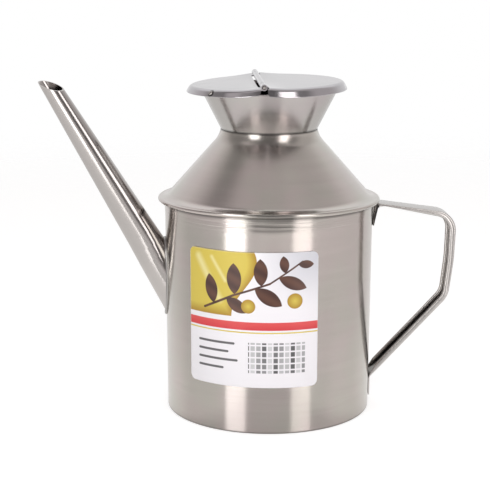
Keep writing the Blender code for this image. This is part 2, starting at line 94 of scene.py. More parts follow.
class CruetCan(bpy.types.PropertyGroup):
    """Sizes of the can and its shoulder"""
    radius: size("Top radius", 0.04995, "Outer radius of the can under its brim")
    foot_radius: size("Foot radius", 0.0493, "Outer radius of the can at its base")
    sheet: size("Sheet", 0.00045, "Thickness of the sheet")
    gap: size("Joint gap", 0.0003, "Room between two pieces that are joined")
    base_corner: size("Base corner", 0.0006, "Rounding of the lower corner")
    base_step: size("Base step", 0.0007, "How far the floor is raised inside its standing ring")
    base_ring: size("Base ring", 0.0035, "Width of the ring that the can stands on")
    flange_round: size("Flange rounding", 0.0008, "Rounding under the flange")
    flare: size("Flare", 0.00030, "How far the wall opens out under the brim")
    flare_height: size("Flare height", 0.0068, "Height over which the wall opens out")
    brim_height: size("Brim height", 0.1032, "Height of the brim's upper face")
    brim_overhang: size("Brim overhang", 0.00325, "How far the brim stands out from the wall")
    brim_edge: size("Brim edge", 0.00195, "Height of the brim's rolled edge")
    brim_corner: size("Brim corner", 0.0009, "Rounding of the brim's edge")
    brim_curl: size("Brim curl", 0.0013, "How far the brim's edge is rolled in under the flange")
    brim_lift: size("Brim lift", 0.00055, "How much higher the leaning brim stands on the axis")
    brim_lean_x: share("Brim lean left", 0.003, "How steeply the brim rises towards the spout")
    brim_lean_y: share("Brim lean front", 0.017, "How steeply the brim rises towards the front")
    cone_radius: size("Cone radius", 0.0495, "Radius at which the cone's line meets the brim")
    cone_fillet: size("Cone fillet", 0.0054, "Rounding between brim and cone")
    cone_rise: size("Cone rise", 0.0330, "Height of the waist above the brim")
    neck_arc: size("Neck arc", 0.0125, "Radius with which the cone turns into the neck")
    neck_ease: share("Neck ease", 0.92, "Part of that radius that the arc itself has")
    neck_lean: angle("Neck lean", 10.0, "Angle of the neck's edge from upright")
    waist_radius: size("Waist radius", 0.0231, "Outer radius of the neck")
    faces: count("Faces round", 240, "Faces round the turned pieces")


class CruetFunnel(bpy.types.PropertyGroup):
    """Sizes of the funnel mouth"""
    ledge: size("Ledge", 0.0005, "How far the funnel's foot stands inside the neck's edge")
    rise: size("Rise", 0.0201, "Height of the rim above the waist")
    half_angle: angle("Half angle", 27.0, "Angle of the funnel's wall from upright")
    spigot: size("Spigot", 0.0060, "How deep the funnel reaches into the neck")
    bead: size("Bead", 0.0008, "Radius of the rolled rim")
    curl: angle("Curl", 100.0, "How far the rim is rolled under")


class CruetLid(bpy.types.PropertyGroup):
    """Sizes of the split lid, its hinge and its rivets"""
    centre_x: size("Centre", -0.0013, "Place of the lid's centre along X")
    over_rim: size("Over rim", 0.0022, "Height of the lid's top above the funnel's rim")
    beyond_rim: size("Beyond rim", 0.0029, "How far the lid's flat top reaches past the rim")
    skirt_flare: size("Skirt flare", 0.0018, "How far the skirt flares outwards")
    sheet: size("Sheet", 0.0005, "Thickness of the sheet")
    edge_round: size("Edge round", 0.0023, "Rounding of the top's edge")
    fixed_step: size("Fixed half's step", 0.0003, "How much lower the fixed half lies")
    fixed_fall: angle("Fixed half's fall", 2.1, "Outward fall of the fixed half")
    fixed_drop: size("Fixed skirt", 0.0030, "Height of the fixed half's skirt")
    hinged_rise: angle("Hinged half's rise", 1.0, "Outward rise of the hinged half")
    hinged_drop: size("Hinged skirt", 0.0039, "Height of the hinged half's skirt")
    hinge_x: size("Hinge place", -0.0048, "Place of the hinge along X")
    pin_radius: size("Pin radius", 0.0007, "Radius of the hinge pin")
    knuckle_wall: size("Knuckle wall", 0.00045, "Wall of the rolled knuckles")
    knuckle_proud: size("Knuckle height", 0.0001, "How far the knuckles reach under the plate")
    row_inset: size("Knuckle row inset", 0.0004, "How far the row of knuckles ends inside the edge")
    end_knuckle: size("End knuckle", 0.0090, "Length of each end knuckle")
    side_gap: size("Knuckle gap", 0.0004, "Gap between neighbouring knuckles")
    slot: size("Knuckle slot", 0.0007, "Gap between a knuckle and the other half")
    split: size("Skirt split", 0.0032, "Gap between the two skirts")
    end_round: size("Skirt end round", 0.0028, "Rounding of the skirt's ends")
    end_flare: size("Skirt end flare", 0.0018, "How far the split widens below")
    ridge: size("Ridge", 0.0009, "How far the plates rise towards the hinge at the lid's edge")
    ridge_width: size("Ridge width", 0.0075, "How far from the hinge that rise fades out")
    rivet_angle: angle("Rivet angle", 42.8, "Place of the rivets round the fixed half")
    rivet_share: share("Rivet place", 0.48, "Place of the rivets down the skirt")
    rivet_shank: size("Rivet shank", 0.0006, "Radius of the rivets' shanks")
    ear_width: size("Ear width", 0.0060, "Width of the ears that the rivets hold")
    ear_sheet: size("Ear sheet", 0.0004, "Thickness of the ears")
    ear_under: size("Ear under plate", 0.0005, "Room between an ear and the plate")
    ear_bend: size("Ear bend", 0.0006, "Rounding of the ears' bend")
    ear_share: share("Ear reach", 0.82, "How far down the skirt the ears reach")


class CruetSpout(bpy.types.PropertyGroup):
    """Sizes of the pouring spout"""
    lean: angle("Lean", 30.36, "Angle of the spout's axis from upright")
    axis_height: size("Axis height", 0.0656, "Height at which the axis meets the wall")
    root_radius: size("Root radius", 0.00903, "Outer radius at the wall")
    half_taper: angle("Half taper", 2.42, "Half of the angle between the spout's sides")
    sheet: size("Sheet", 0.0005, "Thickness of the sheet")
    length: size("Length", 0.1054, "Length from the wall to the mouth along the axis")
    mouth_fall: angle("Mouth fall", 10.8, "Outward fall of the mouth's plane")
    mouth_skew: angle("Mouth skew", 17.0, "Sideways fall of the mouth's plane")
    mouth_rise: size("Mouth rise", 0.00035, "How far the mouth lies beyond the end of the axis")
    bead: size("Solder bead", 0.0008, "Radius of the solder bead at the root")
    bead_rise: share("Bead rise", 0.3, "How far out of the tube the bead's middle lies, in its radii")
    bead_seat: share("Bead seat", 0.8, "How far out of the wall the bead's middle lies, in joint gaps")
    oval: share("Oval", 0.10, "How far the tube is out of round, with its long side to the front right")
    oval_start: size("Oval start", 0.0060, "Where the tube starts to be out of round")
    oval_full: size("Oval full", 0.0240, "Where the tube is fully out of round")
    faces: count("Faces round", 128, "Faces round the spout")


class CruetHandle(bpy.types.PropertyGroup):
    """Sizes of the pressed handle"""
    width: size("Width", 0.0120, "Width of the strap")
    sheet: size("Sheet", 0.0005, "Thickness of the sheet")
    top_flange: size("Top flange", 0.00335, "Depth of the channel at the grip's top")
    flange: size("Flange", 0.00285, "Depth of the channel on the grip")
    low_flange: size("Low flange", 0.0025, "Depth of the channel on the lower arm")
    tab_flange: size("Tab flange", 0.0019, "Depth of the channel at the bend under the brim")
    arm_flange: size("Arm flange", 0.0010, "Depth of the channel where the upper arm starts")
    lip: size("Lip", 0.00015, "Depth of the channel on the tabs")
    hem: size("Hem", 0.00095, "Radius of the channel's rolled edges")
    corner: size("Corner", 0.0012, "Rounding of the channel's corners")
    crease: size("Crease", 0.00015, "Depth of the line beside each rolled edge")
    crease_width: size("Crease width", 0.00040, "Half the width of that line")
    flange_place: share("Flange place", 0.7, "Where the grip's depth is reached, in grip heights")
    low_flange_place: share("Low flange place", 1.2, "Where the low depth is reached, in grip heights")
    outer_ease: share("Outer ease", 0.9, "Part of the channel's side that its outer rounding may take")
    inner_ease: share("Inner ease", 0.8, "Part of the channel's side that its inner rounding may take")
    hem_ease: share("Hem ease", 0.4, "Part of the channel's side that a rolled edge's radius may take")
    # Painted shade inside the channel, darkest deep in the lower arm.
    channel_shade_edge: share("Soil edge", 1.7, "How far from the rolled edge the soil ends, in its radii")
    channel_shade_start: share("Soil start", 0.58, "Place along the strap from which its channel is dark inside")
    channel_shade_fade: share("Soil fade", 0.08, "Share of the strap over which that dark sets in")
    channel_shade_dark: share("Soil darkness", 0.40, "How dark the channel is inside")
    crease_fade: share("Crease fade", 0.05, "Share of the strap over which the pressed line runs out")
    # Painted shade along the pressed line.
    crease_shade: share("Crease darkness", 0.35, "How dark the pressed line is")
    upper_foot: size("Upper tab foot", 0.0895, "Height of the upper tab's end")
    arm_height: size("Arm height", 0.1005, "Height of the bend under the brim")
    arm_reach: size("Arm reach", 0.0510, "Distance of that bend from the axis")
    arm_bend: size("Arm bend", 0.0024, "Radius of that bend")
    top_reach: size("Grip top reach", 0.0909, "Distance of the grip's top from the axis")
    top_height: size("Grip top height", 0.0950, "Height of the grip's top")
    top_bend: size("Grip top bend", 0.0100, "Radius of the bend at the grip's top")
    waist_reach: size("Grip middle reach", 0.0899, "Distance of the grip's middle from the axis")
    waist_height: size("Grip middle height", 0.0720, "Height of the grip's middle")
    bow: size("Grip bow", 0.0600, "Radius of the slight bow in the grip")
    foot_reach: size("Grip foot reach", 0.0876, "Distance of the grip's foot from the axis")
    foot_height: size("Grip foot height", 0.0536, "Height of the grip's foot")
    foot_bend: size("Grip foot bend", 0.0110, "Radius of the bend at the grip's foot")
    lower_height: size("Lower bend height", 0.0134, "Height of the bend at the wall")
    lower_bend: size("Lower bend", 0.0030, "Radius of that bend")
    lower_foot: size("Lower tab foot", 0.0042, "Height of the lower tab's end")
    run_out: size("Run out", 0.0060, "Length over which the channel flattens")
    spacing: size("Ring spacing", 0.0012, "Distance between the rings of the mesh")


class CruetLabel(bpy.types.PropertyGroup):
    """Sizes and colours of the paper label"""
    width: size("Width", 0.0638, "Width along the wall")
    height: size("Height", 0.0639, "Height")
    foot: size("Foot height", 0.0226, "Height of the lower edge")
    corner: size("Corner", 0.0030, "Rounding of the corners")
    paper: size("Paper", 0.00015, "Thickness of the paper")
    azimuth: angle("Azimuth", -103.5, "Direction in which its middle faces")
    white: colour("Paper white", (0.90, 0.885, 0.92), "Colour of the bare paper")
    shade: colour("Paper shade", (0.42, 0.44, 0.50), "Colour of the printed grey wash")
    red: colour("Red", (0.66, 0.045, 0.055), "Colour of the printed ribbon")
    gold: colour("Gold", (0.68, 0.54, 0.085), "Colour of the printed oil")
    amber: colour("Amber", (0.42, 0.24, 0.02), "Darker colour of the printed oil")
    brown: colour("Brown", (0.060, 0.022, 0.016), "Colour of the printed sprig")
    ink: colour("Ink", (0.035, 0.033, 0.036), "Colour of the printed rules")
    gleam: colour("Gleam", (0.88, 0.82, 0.42), "Colour of the gleams in the printed oil")
    light_brown: colour("Light brown", (0.11, 0.045, 0.028), "Lighter colour of the printed sprig")
    light_red: colour("Light red", (0.75, 0.09, 0.09), "Lighter colour of the printed ribbon")
    worn: colour("Worn edge", (0.72, 0.71, 0.71), "Colour of the paper's worn edge")


class CruetSteel(bpy.types.PropertyGroup):
    """Colours and polish of the steel"""
    wall: colour("Wall", (0.58, 0.542, 0.518), "Colour of can, shoulder and funnel")
    lid: colour("Lid", (0.52, 0.505, 0.53), "Colour of the lid")
    bare: colour("Bare tube", (0.52, 0.495, 0.48), "Colour of the spout")
    strap: colour("Bare strap", (0.56, 0.54, 0.525), "Colour of the handle")
    # Used for painted shade under the brim, along the foot and in the handle's channel and crease, and for
    # the painted dark reflection under the brim; at the neck and funnel joints and the rivet rings it is
    # their own dark.
    shade_and_soil: colour("Soil", (0.05, 0.048, 0.046), "Colour of the dirt in seams and in the handle's channel")
    funnel_tone: colour("Funnel tone", (0.86, 0.875, 0.91), "Darker tone of the funnel's sheet")
    # The dark below the brim and along the foot is painted shade; the lines under the neck's edge and above
    # the funnel's foot are dark joints.
    seam_dark: share("Seam darkness", 0.65, "How dark the steel is along the seams")
    brim_seam: size("Brim seam", 0.0027, "How far under the flange the dark below the brim starts")
    brim_seam_full: size("Full brim seam", 0.0017, "How far under the flange that dark is full")
    foot_seam: size("Foot seam", 0.0012, "How far above the base the dark along the foot starts")
    foot_seam_full: size("Full foot seam", 0.0002, "How far above the base that dark is full")
    neck_seam: size("Neck seam", 0.0007, "How far under the neck's edge its dark line starts")
    neck_seam_full: size("Full neck seam", 0.0001, "How far under the neck's edge that line is full")
    mouth_seam: size("Funnel seam", 0.0008, "How far above the funnel's foot its dark line starts")
    mouth_seam_full: size("Full funnel seam", 0.0001, "How far above the funnel's foot that line is full")
    rivet_dark: share("Rivet darkness", 0.8, "How dark the rings round the rivets are")
    ripple_start: size("Ripples' start", 0.0005, "How far below the brim's top the ripples set in")
    ripple_full: size("Ripples", 0.0075, "How far below the brim the wall is fully rippled")
    ripple_end: size("Ripples' end", 0.0105, "How far below the brim the ripples end")
    # The rub mark settings place a painted dark reflection on the front of the rippled wall under the brim.
    reflection_place: size("Rub mark's place", -0.0012, "Place of the rub mark's middle along X")
    reflection_full: size("Rub mark", 0.0075, "Half the width over which the rub mark is full")
    reflection_end: size("Rub mark's end", 0.0125, "Distance from its middle at which the rub mark ends")
    reflection_dark: share("Rub mark darkness", 0.22, "How dark the whole rub mark is")
    reflection_lines: share("Rub mark lines", 0.45, "How much darker the rub mark is on the ripples")
    solder: colour("Solder", (0.40, 0.39, 0.38), "Colour of the solder")
    wall_roughness: share("Wall roughness", 0.17, "Roughness of the turned steel")
    spun_roughness: share("Spun roughness", 0.06, "How much duller the spun shoulder is")
    wall_grain: share("Wall grain", 0.30, "How strongly the turned steel spreads light across its grain")
    bare_roughness: share("Tube roughness", 0.15, "Roughness of the polished spout")
    strap_roughness: share("Strap roughness", 0.24, "Roughness of the handle")
    lid_roughness: share("Lid roughness", 0.13, "Roughness of the lid")
    wire_roughness: share("Wire roughness", 0.20, "Roughness of the pin and the rivets")
    solder_roughness: share("Solder roughness", 0.30, "Roughness of the solder")


class CruetStage(bpy.types.PropertyGroup):
    """Camera, lamps and floor"""
    turn: angle("Turn", -3.1, "Direction of the camera round the object")
    side: size("Side", -0.0114, "How far the camera stands to the left")
    distance: size("Distance", 0.689, "Distance of the camera from the axis")
    height: size("Height", 0.2313, "Height of the camera")
    pitch: angle("Pitch", 12.4, "How far the camera looks down")
    roll: angle("Roll", 0.09, "How far the camera is turned round its own line of sight")
    focal: FloatProperty(
        name="Focal length", default=106.82, description="Focal length in millimetres", unit="CAMERA"
    )
    floor_radius: size("Floor radius", 1.0, "Radius of the floor")
    lamp_angle: angle("Lamp angle", 35.0, "Direction of the soft lamps to either side of the camera")
    lamp_spread: angle("Lamp spread", 21.6, "How wide the soft lamps look from the object")
    left_distance: size("Left lamp distance", 0.50, "Distance of the left lamp")
    right_distance: size("Right lamp distance", 0.80, "Distance of the right lamp")
    left_height: size("Left lamp height", 0.42, "Height of the left lamp")
    right_height: size("Right lamp height", 0.90, "Height of the right lamp")
    left_tint: colour("Left lamp tint", (1.0, 0.99, 0.985), "Colour of the left lamp")
    right_tint: colour("Right lamp tint", (1.0, 0.95, 0.94), "Colour of the right lamp")
    left_power: power("Left lamp", 0.74, "Power of the left lamp in watts")
    right_power: power("Right lamp", 1.97, "Power of the right lamp in watts")
    fill_distance: size("Fill distance", 1.2, "Distance of the fill lamp")
    fill_width: size("Fill width", 0.5, "Width and height of the fill lamp")
    fill_rise: angle("Fill rise", 32.0, "Height of the fill lamp as an angle")
    fill_power: power("Fill lamp", 4.4, "Power of the fill lamp in watts")


class CruetSettings(bpy.types.PropertyGroup):
    """Everything that can be set on the oil cruet"""
    can: PointerProperty(type=CruetCan)
    funnel: PointerProperty(type=CruetFunnel)
    lid: PointerProperty(type=CruetLid)
    spout: PointerProperty(type=CruetSpout)
    handle: PointerProperty(type=CruetHandle)
    label: PointerProperty(type=CruetLabel)
    steel: PointerProperty(type=CruetSteel)
    stage: PointerProperty(type=CruetStage)


def settings():
    return bpy.context.scene.oil_cruet


# Lines and meshes


def clamp(value):
    """The value, held between 0 and 1."""
    return max(0, min(1, value))


def rounded_path(corners, steps=6):
    """Points of a path through (u, v, radius) corners, each rounded by an arc of its radius."""
    points = []
    for index, (u, v, radius) in enumerate(corners):
        here = Vector((u, v))
        if radius == 0 or index in (0, len(corners) - 1):
            points.append(here)
            continue
        back = (Vector(corners[index - 1][:2]) - here).normalized()
        ahead = (Vector(corners[index + 1][:2]) - here).normalized()
        half_angle = back.angle(ahead) / 2
        centre = here + (back + ahead).normalized() * radius / math.sin(half_angle)
        start = here + back * radius / math.tan(half_angle) - centre
        sweep = start.angle_signed(here + ahead * radius / math.tan(half_angle) - centre)
        for step in range(steps + 1):
            points.append(centre + Matrix.Rotation(-sweep * step / steps, 2) @ start)
    return points


def beside(path, distance):
    """The path shifted to its right by a distance, with its corners kept."""
    shifted = []
    for index, point in enumerate(path):
        sides = []
        if index > 0:
            sides.append((point - path[index - 1]).normalized())
        if index < len(path) - 1:
            sides.append((path[index + 1] - point).normalized())
        along = sum(sides, Vector((0, 0))).normalized()
        across = Vector((along.y, -along.x))
        first = Vector((sides[0].y, -sides[0].x))
        shifted.append(point + across * distance / max(across.dot(first), 0.2))
    return shifted


def sheet_loop(path, sheet, steps=1):
    """A closed outline of a sheet whose outer face follows the path and whose end is rounded in steps."""
    inner = beside(path, sheet)
    for outer_point, inner_point in zip(path, inner):
        if abs(outer_point.x) < MERGE:
            inner_point.x = 0
    centre = (path[-1] + inner[-1]) / 2
    start = path[-1] - centre
    turn = Matrix.Rotation(-math.pi / steps, 2)
    edge = []
    for _ in range(steps - 1):
        start = turn @ start
        edge.append(centre + start)
    return list(path) + edge + inner[::-1]


def framed(outline):
    """The outline with a point close to both ends of each long side, which keeps its shading flat."""
    points = []
    for index, start in enumerate(outline):
        side = outline[(index + 1) % len(outline)] - start
        points.append(start)
        if side.length > 4 * EDGE_RING:
            points.append(start + side.normalized() * EDGE_RING)
            points.append(start + side - side.normalized() * EDGE_RING)
    return points


def smooth(mesh):
    mesh.shade_smooth()
    mesh.set_sharp_from_angle(angle=SHARP_ANGLE)
    return mesh


def finish_mesh(shape, name):
    bmesh.ops.recalc_face_normals(shape, faces=shape.faces)
    mesh = bpy.data.meshes.new(name)
    shape.to_mesh(mesh)
    shape.free()
    return smooth(mesh)


def skin(shape, rings, closed):
    """Joins neighbouring rings with faces, where a ring of one vertex is a pole."""
    following = rings[1:] + rings[:1] if closed else rings[1:]
    for first, second in zip(rings, following):
        faces = max(len(first), len(second))
        if faces == 1:
            continue
        for step in range(faces):
            after = (step + 1) % faces
            corners = [first[step % len(first)], first[after % len(first)]]
            corners += [second[after % len(second)], second[step % len(second)]]
            shape.faces.new(list(dict.fromkeys(corners)))


def place(name, mesh):
    item = bpy.data.objects.new(name, mesh)
    bpy.context.scene.collection.objects.link(item)
    return item


def turned(name, loop, faces, centre_x=0):
    """A closed outline of radius and height, turned round the Z axis."""
    shape = bmesh.new()
    rings = []
    for point in framed(loop):
        if abs(point[0]) < MERGE:
            rings.append([shape.verts.new((centre_x, 0, point[1]))])
            continue
        ring = []
        for step in range(faces):
            turn = math.tau * step / faces
            ring.append(shape.verts.new((
                centre_x + point[0] * math.cos(turn), point[0] * math.sin(turn), point[1]
            )))
        rings.append(ring)
    skin(shape, rings, closed=True)
    return finish_mesh(shape, name)


def rod(name, start_radius, end_radius, length, faces, matrix=Matrix.Identity(4)):
    """A closed cone or cylinder along its own Z axis."""
    shape = bmesh.new()
    bmesh.ops.create_cone(
        shape, cap_ends=True, segments=faces, radius1=start_radius, radius2=end_radius, depth=length
    )
    bmesh.ops.transform(shape, matrix=matrix @ Matrix.Translation((0, 0, length / 2)), verts=shape.verts)
    return place(name, finish_mesh(shape, name))


def block(name, low, high, matrix=Matrix.Identity(4)):
    low, high = Vector(low), Vector(high)
    shape = bmesh.new()
    bmesh.ops.create_cube(shape, size=1)
    bmesh.ops.scale(shape, vec=high - low, verts=shape.verts)
    bmesh.ops.translate(shape, vec=(low + high) / 2, verts=shape.verts)
    bmesh.ops.transform(shape, matrix=matrix, verts=shape.verts)
    return place(name, finish_mesh(shape, name))


def plate(name, outline, depth, matrix):
    """A flat outline extruded by depth to both sides of its own XY plane."""
    shape = bmesh.new()
    lower = [shape.verts.new((point[0], point[1], -depth / 2)) for point in outline]
    upper = [shape.verts.new((point[0], point[1], depth / 2)) for point in outline]
    shape.faces.new(lower[::-1])
    shape.faces.new(upper)
    for index in range(len(outline)):
        after = (index + 1) % len(outline)
        shape.faces.new((lower[index], lower[after], upper[after], upper[index]))
    bmesh.ops.transform(shape, matrix=matrix, verts=shape.verts)
    return place(name, finish_mesh(shape, name))


def shaped(item, cuts, joins=()):
    """Applies the cuts and joins to an object and removes the tools that made them."""
    for tools, operation in ((joins, "UNION"), (cuts, "DIFFERENCE")):
        for tool in tools:
            boolean = item.modifiers.new(operation.title(), "BOOLEAN")
            boolean.operation = operation
            boolean.object = tool
            boolean.solver = "EXACT"
    graph = bpy.context.evaluated_depsgraph_get()
    mesh = bpy.data.meshes.new_from_object(item.evaluated_get(graph))
    item.modifiers.clear()
    item.data = mesh
    for tool in list(cuts) + list(joins):
        bpy.data.objects.remove(tool)
    smooth(mesh)
    return item


# Forms that several pieces share


def flange_under(can):
    return can.brim_height - 2 * can.sheet - can.gap


def wall_radius(can, height):
    """The can's outer radius, which narrows towards its base."""
    return can.foot_radius + (can.radius - can.foot_radius) * height / flange_under(can)


def waist_height(can):
    return can.brim_height + can.cone_rise


def brim_rise(can, x, y):
    """How much the leaning brim stands above its plain height at one place."""
    return can.brim_lift - x * can.brim_lean_x - y * can.brim_lean_y


def lean_brim(can, mesh):
    """Lifts the points near the brim, so that it leans like the real one."""
    for vertex in mesh.vertices:
        if abs(vertex.co.z - can.brim_height) < BRIM_ZONE:
            vertex.co.z += brim_rise(can, vertex.co.x, vertex.co.y)
    return mesh


class Rim:
    """Places of the funnel's rolled rim and of the lid over it"""

    def __init__(self, every):
        can, funnel, lid = every.can, every.funnel, every.lid
        self.foot_height = waist_height(can) + can.gap
        self.foot_radius = can.waist_radius - funnel.ledge
        self.spigot_radius = can.waist_radius - can.sheet - can.gap
        self.height = waist_height(can) + funnel.rise
        self.bead_height = self.height - funnel.bead
        self.curl_radius = funnel.bead - can.sheet
        spread = (self.bead_height - self.foot_height) * math.tan(funnel.half_angle)
        self.bead_centre = self.foot_radius + spread + self.curl_radius / math.cos(funnel.half_angle)
        self.lid_top = self.height + lid.over_rim
        self.lid_radius = self.bead_centre + funnel.bead + lid.beyond_rim
        self.skirt_radius = self.lid_radius + lid.skirt_flare
        self.bore = lid.pin_radius + can.gap
        self.knuckle = self.bore + lid.knuckle_wall
        self.hinge = Vector((lid.hinge_x, 0, self.lid_top - lid.sheet + self.knuckle - lid.knuckle_proud))
        self.row = 2 * (self.lid_radius - lid.row_inset)
        self.middle = self.row - 2 * (lid.end_knuckle + lid.side_gap)


class LidHalf:
    """The sizes in which the two halves of the lid differ"""

    def __init__(self, every, side):
        lid = every.lid
        self.rim = Rim(every)
        self.lid = lid
        self.side = side
        self.top = self.rim.lid_top - (lid.fixed_step if side < 0 else 0)
        self.drop = lid.fixed_drop if side < 0 else lid.hinged_drop
        self.tilt = -lid.fixed_fall if side < 0 else -lid.hinged_rise

    def on_skirt(self, part):
        radius = self.rim.lid_radius + (self.rim.skirt_radius - self.rim.lid_radius) * part
        return Vector((radius, self.top - self.drop * part))

    def slope(self):
        return math.atan2(self.drop, self.rim.skirt_radius - self.rim.lid_radius)

    def matrix(self):
        """Moves what is drawn on the untilted lid to where this half has it."""
        hinge = Matrix.Translation(self.rim.hinge)
        return hinge @ Matrix.Rotation(self.tilt, 4, "Y") @ hinge.inverted()

    def knuckles(self, own=True):
        """Where this half's own knuckles lie along the hinge, or the other half's."""
        half = self.rim.middle / 2
        if (self.side > 0) == own:
            return [(-half, half)]
        start = half + self.lid.side_gap
        return [(-self.rim.row / 2, -start), (start, self.rim.row / 2)]


def rivet_stand(fixed, side):
    """A frame on the lid's axis with X towards one of the rivets."""
    centre = Matrix.Translation((fixed.lid.centre_x, 0, 0))
    return fixed.matrix() @ centre @ Matrix.Rotation(math.pi + side * fixed.lid.rivet_angle, 4, "Z")


def rivet_hole(every, fixed, side):
    radius, height = fixed.on_skirt(every.lid.rivet_share)
    seat = Matrix.Translation((radius, 0, height)) @ Matrix.Rotation(fixed.slope(), 4, "Y")
    depth = every.lid.sheet + every.lid.ear_sheet + 2 * every.can.gap
    start = rivet_stand(fixed, side) @ seat @ Matrix.Translation((0, 0, -depth - OVERRUN))
    radius = every.lid.rivet_shank + every.can.gap
    return rod("rivet_hole", radius, radius, depth + 2 * OVERRUN, RIVET_HOLE_FACES, start)


# Shader maths


def plug(tree, slot, value):
    """Links a value to a socket, or sets a plain number or colour there."""
    if isinstance(value, Value):
        tree.links.new(value.socket, slot)
    else:
        slot.default_value = value


class Value:
    """A node's output that can be used in sums, products and comparisons"""

    def __init__(self, tree, socket):
        self.tree = tree
        self.socket = socket

    def worked_out(self, operation, operands, limited=False):
        node = self.tree.nodes.new("ShaderNodeMath")
        node.operation = operation
        node.use_clamp = limited
        for slot, value in zip(node.inputs, operands):
            plug(self.tree, slot, value)
        return Value(self.tree, node.outputs[0])

    def math(self, operation, *others):
        return self.worked_out(operation, (self,) + others)

    def reflected(self, operation, other):
        return self.worked_out(operation, (other, self))

    def __add__(self, other):
        return self.math("ADD", other)

    def __radd__(self, other):
        return self.reflected("ADD", other)

    def __sub__(self, other):
        return self.math("SUBTRACT", other)

    def __rsub__(self, other):
        return self.reflected("SUBTRACT", other)

    def __mul__(self, other):
        return self.math("MULTIPLY", other)

    def __rmul__(self, other):
        return self.reflected("MULTIPLY", other)

    def __truediv__(self, other):
        return self.math("DIVIDE", other)

    def __pow__(self, other):
        return self.math("POWER", other)

    def __neg__(self):
        return self.reflected("SUBTRACT", 0)

    def __abs__(self):
        return self.math("ABSOLUTE")

    def sine(self):
        return self.math("SINE")

    def root(self):
        return self.math("SQRT")

    def least(self, other):
        return self.math("MINIMUM", other)

    def most(self, other):
        return self.math("MAXIMUM", other)

    def fraction(self):
        return self.math("FRACT")

    def whole(self):
        return self.math("FLOOR")

    def clamped(self):
        return self.worked_out("ADD", (self, 0), limited=True)

    def ramp(self, start, end):
        """0 at start and 1 at end, with a straight line between."""
        return ((self - start) / (end - start)).clamped()

    def soft(self, start, end):
        """0 at start and 1 at end, with a soft curve between."""
        part = self.ramp(start, end)
        return part * part * (3 - 2 * part)

    def band(self, start, full, fading, end):
        """1 from full to fading, and 0 before start and after end."""
        return self.soft(start, full) * (1 - self.soft(fading, end))

    def towards(self, other, part):
        """This value, moved towards another one by a part of the way."""
        return self + (other - self) * part


class Finish:
    """One node tree, filled from Python expressions"""

    def __init__(self, tree):
        self.tree = tree
        tree.nodes.clear()

    def add(self, kind, options=None, sockets=None, output=0):
        """Adds a node, sets its options and then its sockets, and returns one output or all of them."""
        node = self.tree.nodes.new(kind)
        for key, value in (options or {}).items():
            setattr(node, key, value)
        for key, value in (sockets or {}).items():
            plug(self.tree, node.inputs[key], value)
        if output is None:
            return [Value(self.tree, socket) for socket in node.outputs]
        return Value(self.tree, node.outputs[output])

    def mix(self, factor, first, second, kind="MIX"):
        """Mixes two colours, each given as three numbers or as a link."""
        pair = [item if isinstance(item, Value) else (*item, 1) for item in (first, second)]
        options = {"data_type": "RGBA", "blend_type": kind}
        return self.add("ShaderNodeMix", options, {0: factor, 6: pair[0], 7: pair[1]}, 2)

    def axes(self, source):
        """The X, Y and Z values of a vector."""
        return self.add("ShaderNodeSeparateXYZ", None, {0: source}, None)

    def vector(self, x, y, z):
        return self.add("ShaderNodeCombineXYZ", None, {0: x, 1: y, 2: z})

    def noise(self, place_at, scale, detail, roughness):
        sockets = {"Vector": place_at, "Scale": scale, "Detail": detail, "Roughness": roughness}
        return self.add("ShaderNodeTexNoise", {"noise_dimensions": "3D"}, sockets)

    def grain(self, axes, scales, detail, roughness):
        """Noise that is stretched differently along each axis."""
        stretched = [axis * scale for axis, scale in zip(axes, scales)]
        return self.noise(self.vector(*stretched), 1, detail, roughness)

    def shaded(self, tint, shade):
        """A colour that one value makes lighter or darker."""
        return self.mix(1.0, tint, self.vector(shade, shade, shade), "MULTIPLY")

    def coordinates(self, kind="Object"):
        return self.add("ShaderNodeTexCoord", None, None, kind)

    def relief(self, height, distance):
        return self.add("ShaderNodeBump", None, {"Height": height, "Distance": distance})

    def blend(self, factor, first, second):
        """Mixes two shaders."""
        return self.add("ShaderNodeMixShader", None, {0: factor, 1: first, 2: second})

    def ray(self, kind):
        """1 for the rays of one kind, and 0 for all others."""
        return self.add("ShaderNodeLightPath", None, None, kind)

    def metal(self, base, roughness, normal, extra=None):
        sockets = {"Base Color": base, "Metallic": 1.0, "Roughness": roughness, "Normal": normal}
        sockets.update(extra or {})
        self.close(self.add("ShaderNodeBsdfPrincipled", None, sockets))

    def close(self, shader, kind="ShaderNodeOutputMaterial"):
        self.add(kind, None, {"Surface": shader}, None)


# Steel

# How fine the grain of each finish is along X, Y and Z
TURNED_MARKS = (60, 60, 5200)
TURNED_BANDS = (14, 14, 420)
TURNED_WAVES = (26, 26, 9)
RIPPLES = (20, 20, 900)
PRESSED_MARKS = (900, 60, 900)

# The same for strip and tube: lengthwise, across and through
STRIP_MARKS = (40, 2200, 2200)

# How fine the clouds in each finish are
TURNED_CLOUD = 42
PRESSED_CLOUD = 60
STRIP_CLOUD = 70

# How deep the relief of each finish is, in metres
TURNED_RELIEF = 0.00004
PRESSED_RELIEF = 0.00005
STRIP_RELIEF = 0.00004
PAPER_RELIEF = 0.00006

# Distances from a rivet's middle at which its dark ring starts, is full, fades and ends
RIVET_RING = (0.0008, 0.0011, 0.0015, 0.0019)

# Colour shifts, as shares of red, green and blue
PINKISH = (0.030, -0.004, 0.002)
GREENISH = (-0.012, 0.012, -0.022)


def new_finish(name):
    material = bpy.data.materials.new(name)
    material.use_nodes = True
    return material, Finish(material.node_tree)


def shifted(tint, shift, part):
    """A colour moved by a part of a colour shift."""
    return tuple(value * (1 + part * change) for value, change in zip(tint, shift))


def distance(first, *others):
    """How far a place lies from a point, from its distances along each axis."""
    return reduce(Value.__add__, [off * off for off in others], first * first).root()


def rippled_zone(steel, under):
    """1 in the zone of the fine ripples that the wall has below its brim."""
    return (1 - under.soft(steel.ripple_full, steel.ripple_end)) * under.soft(0, steel.ripple_start)


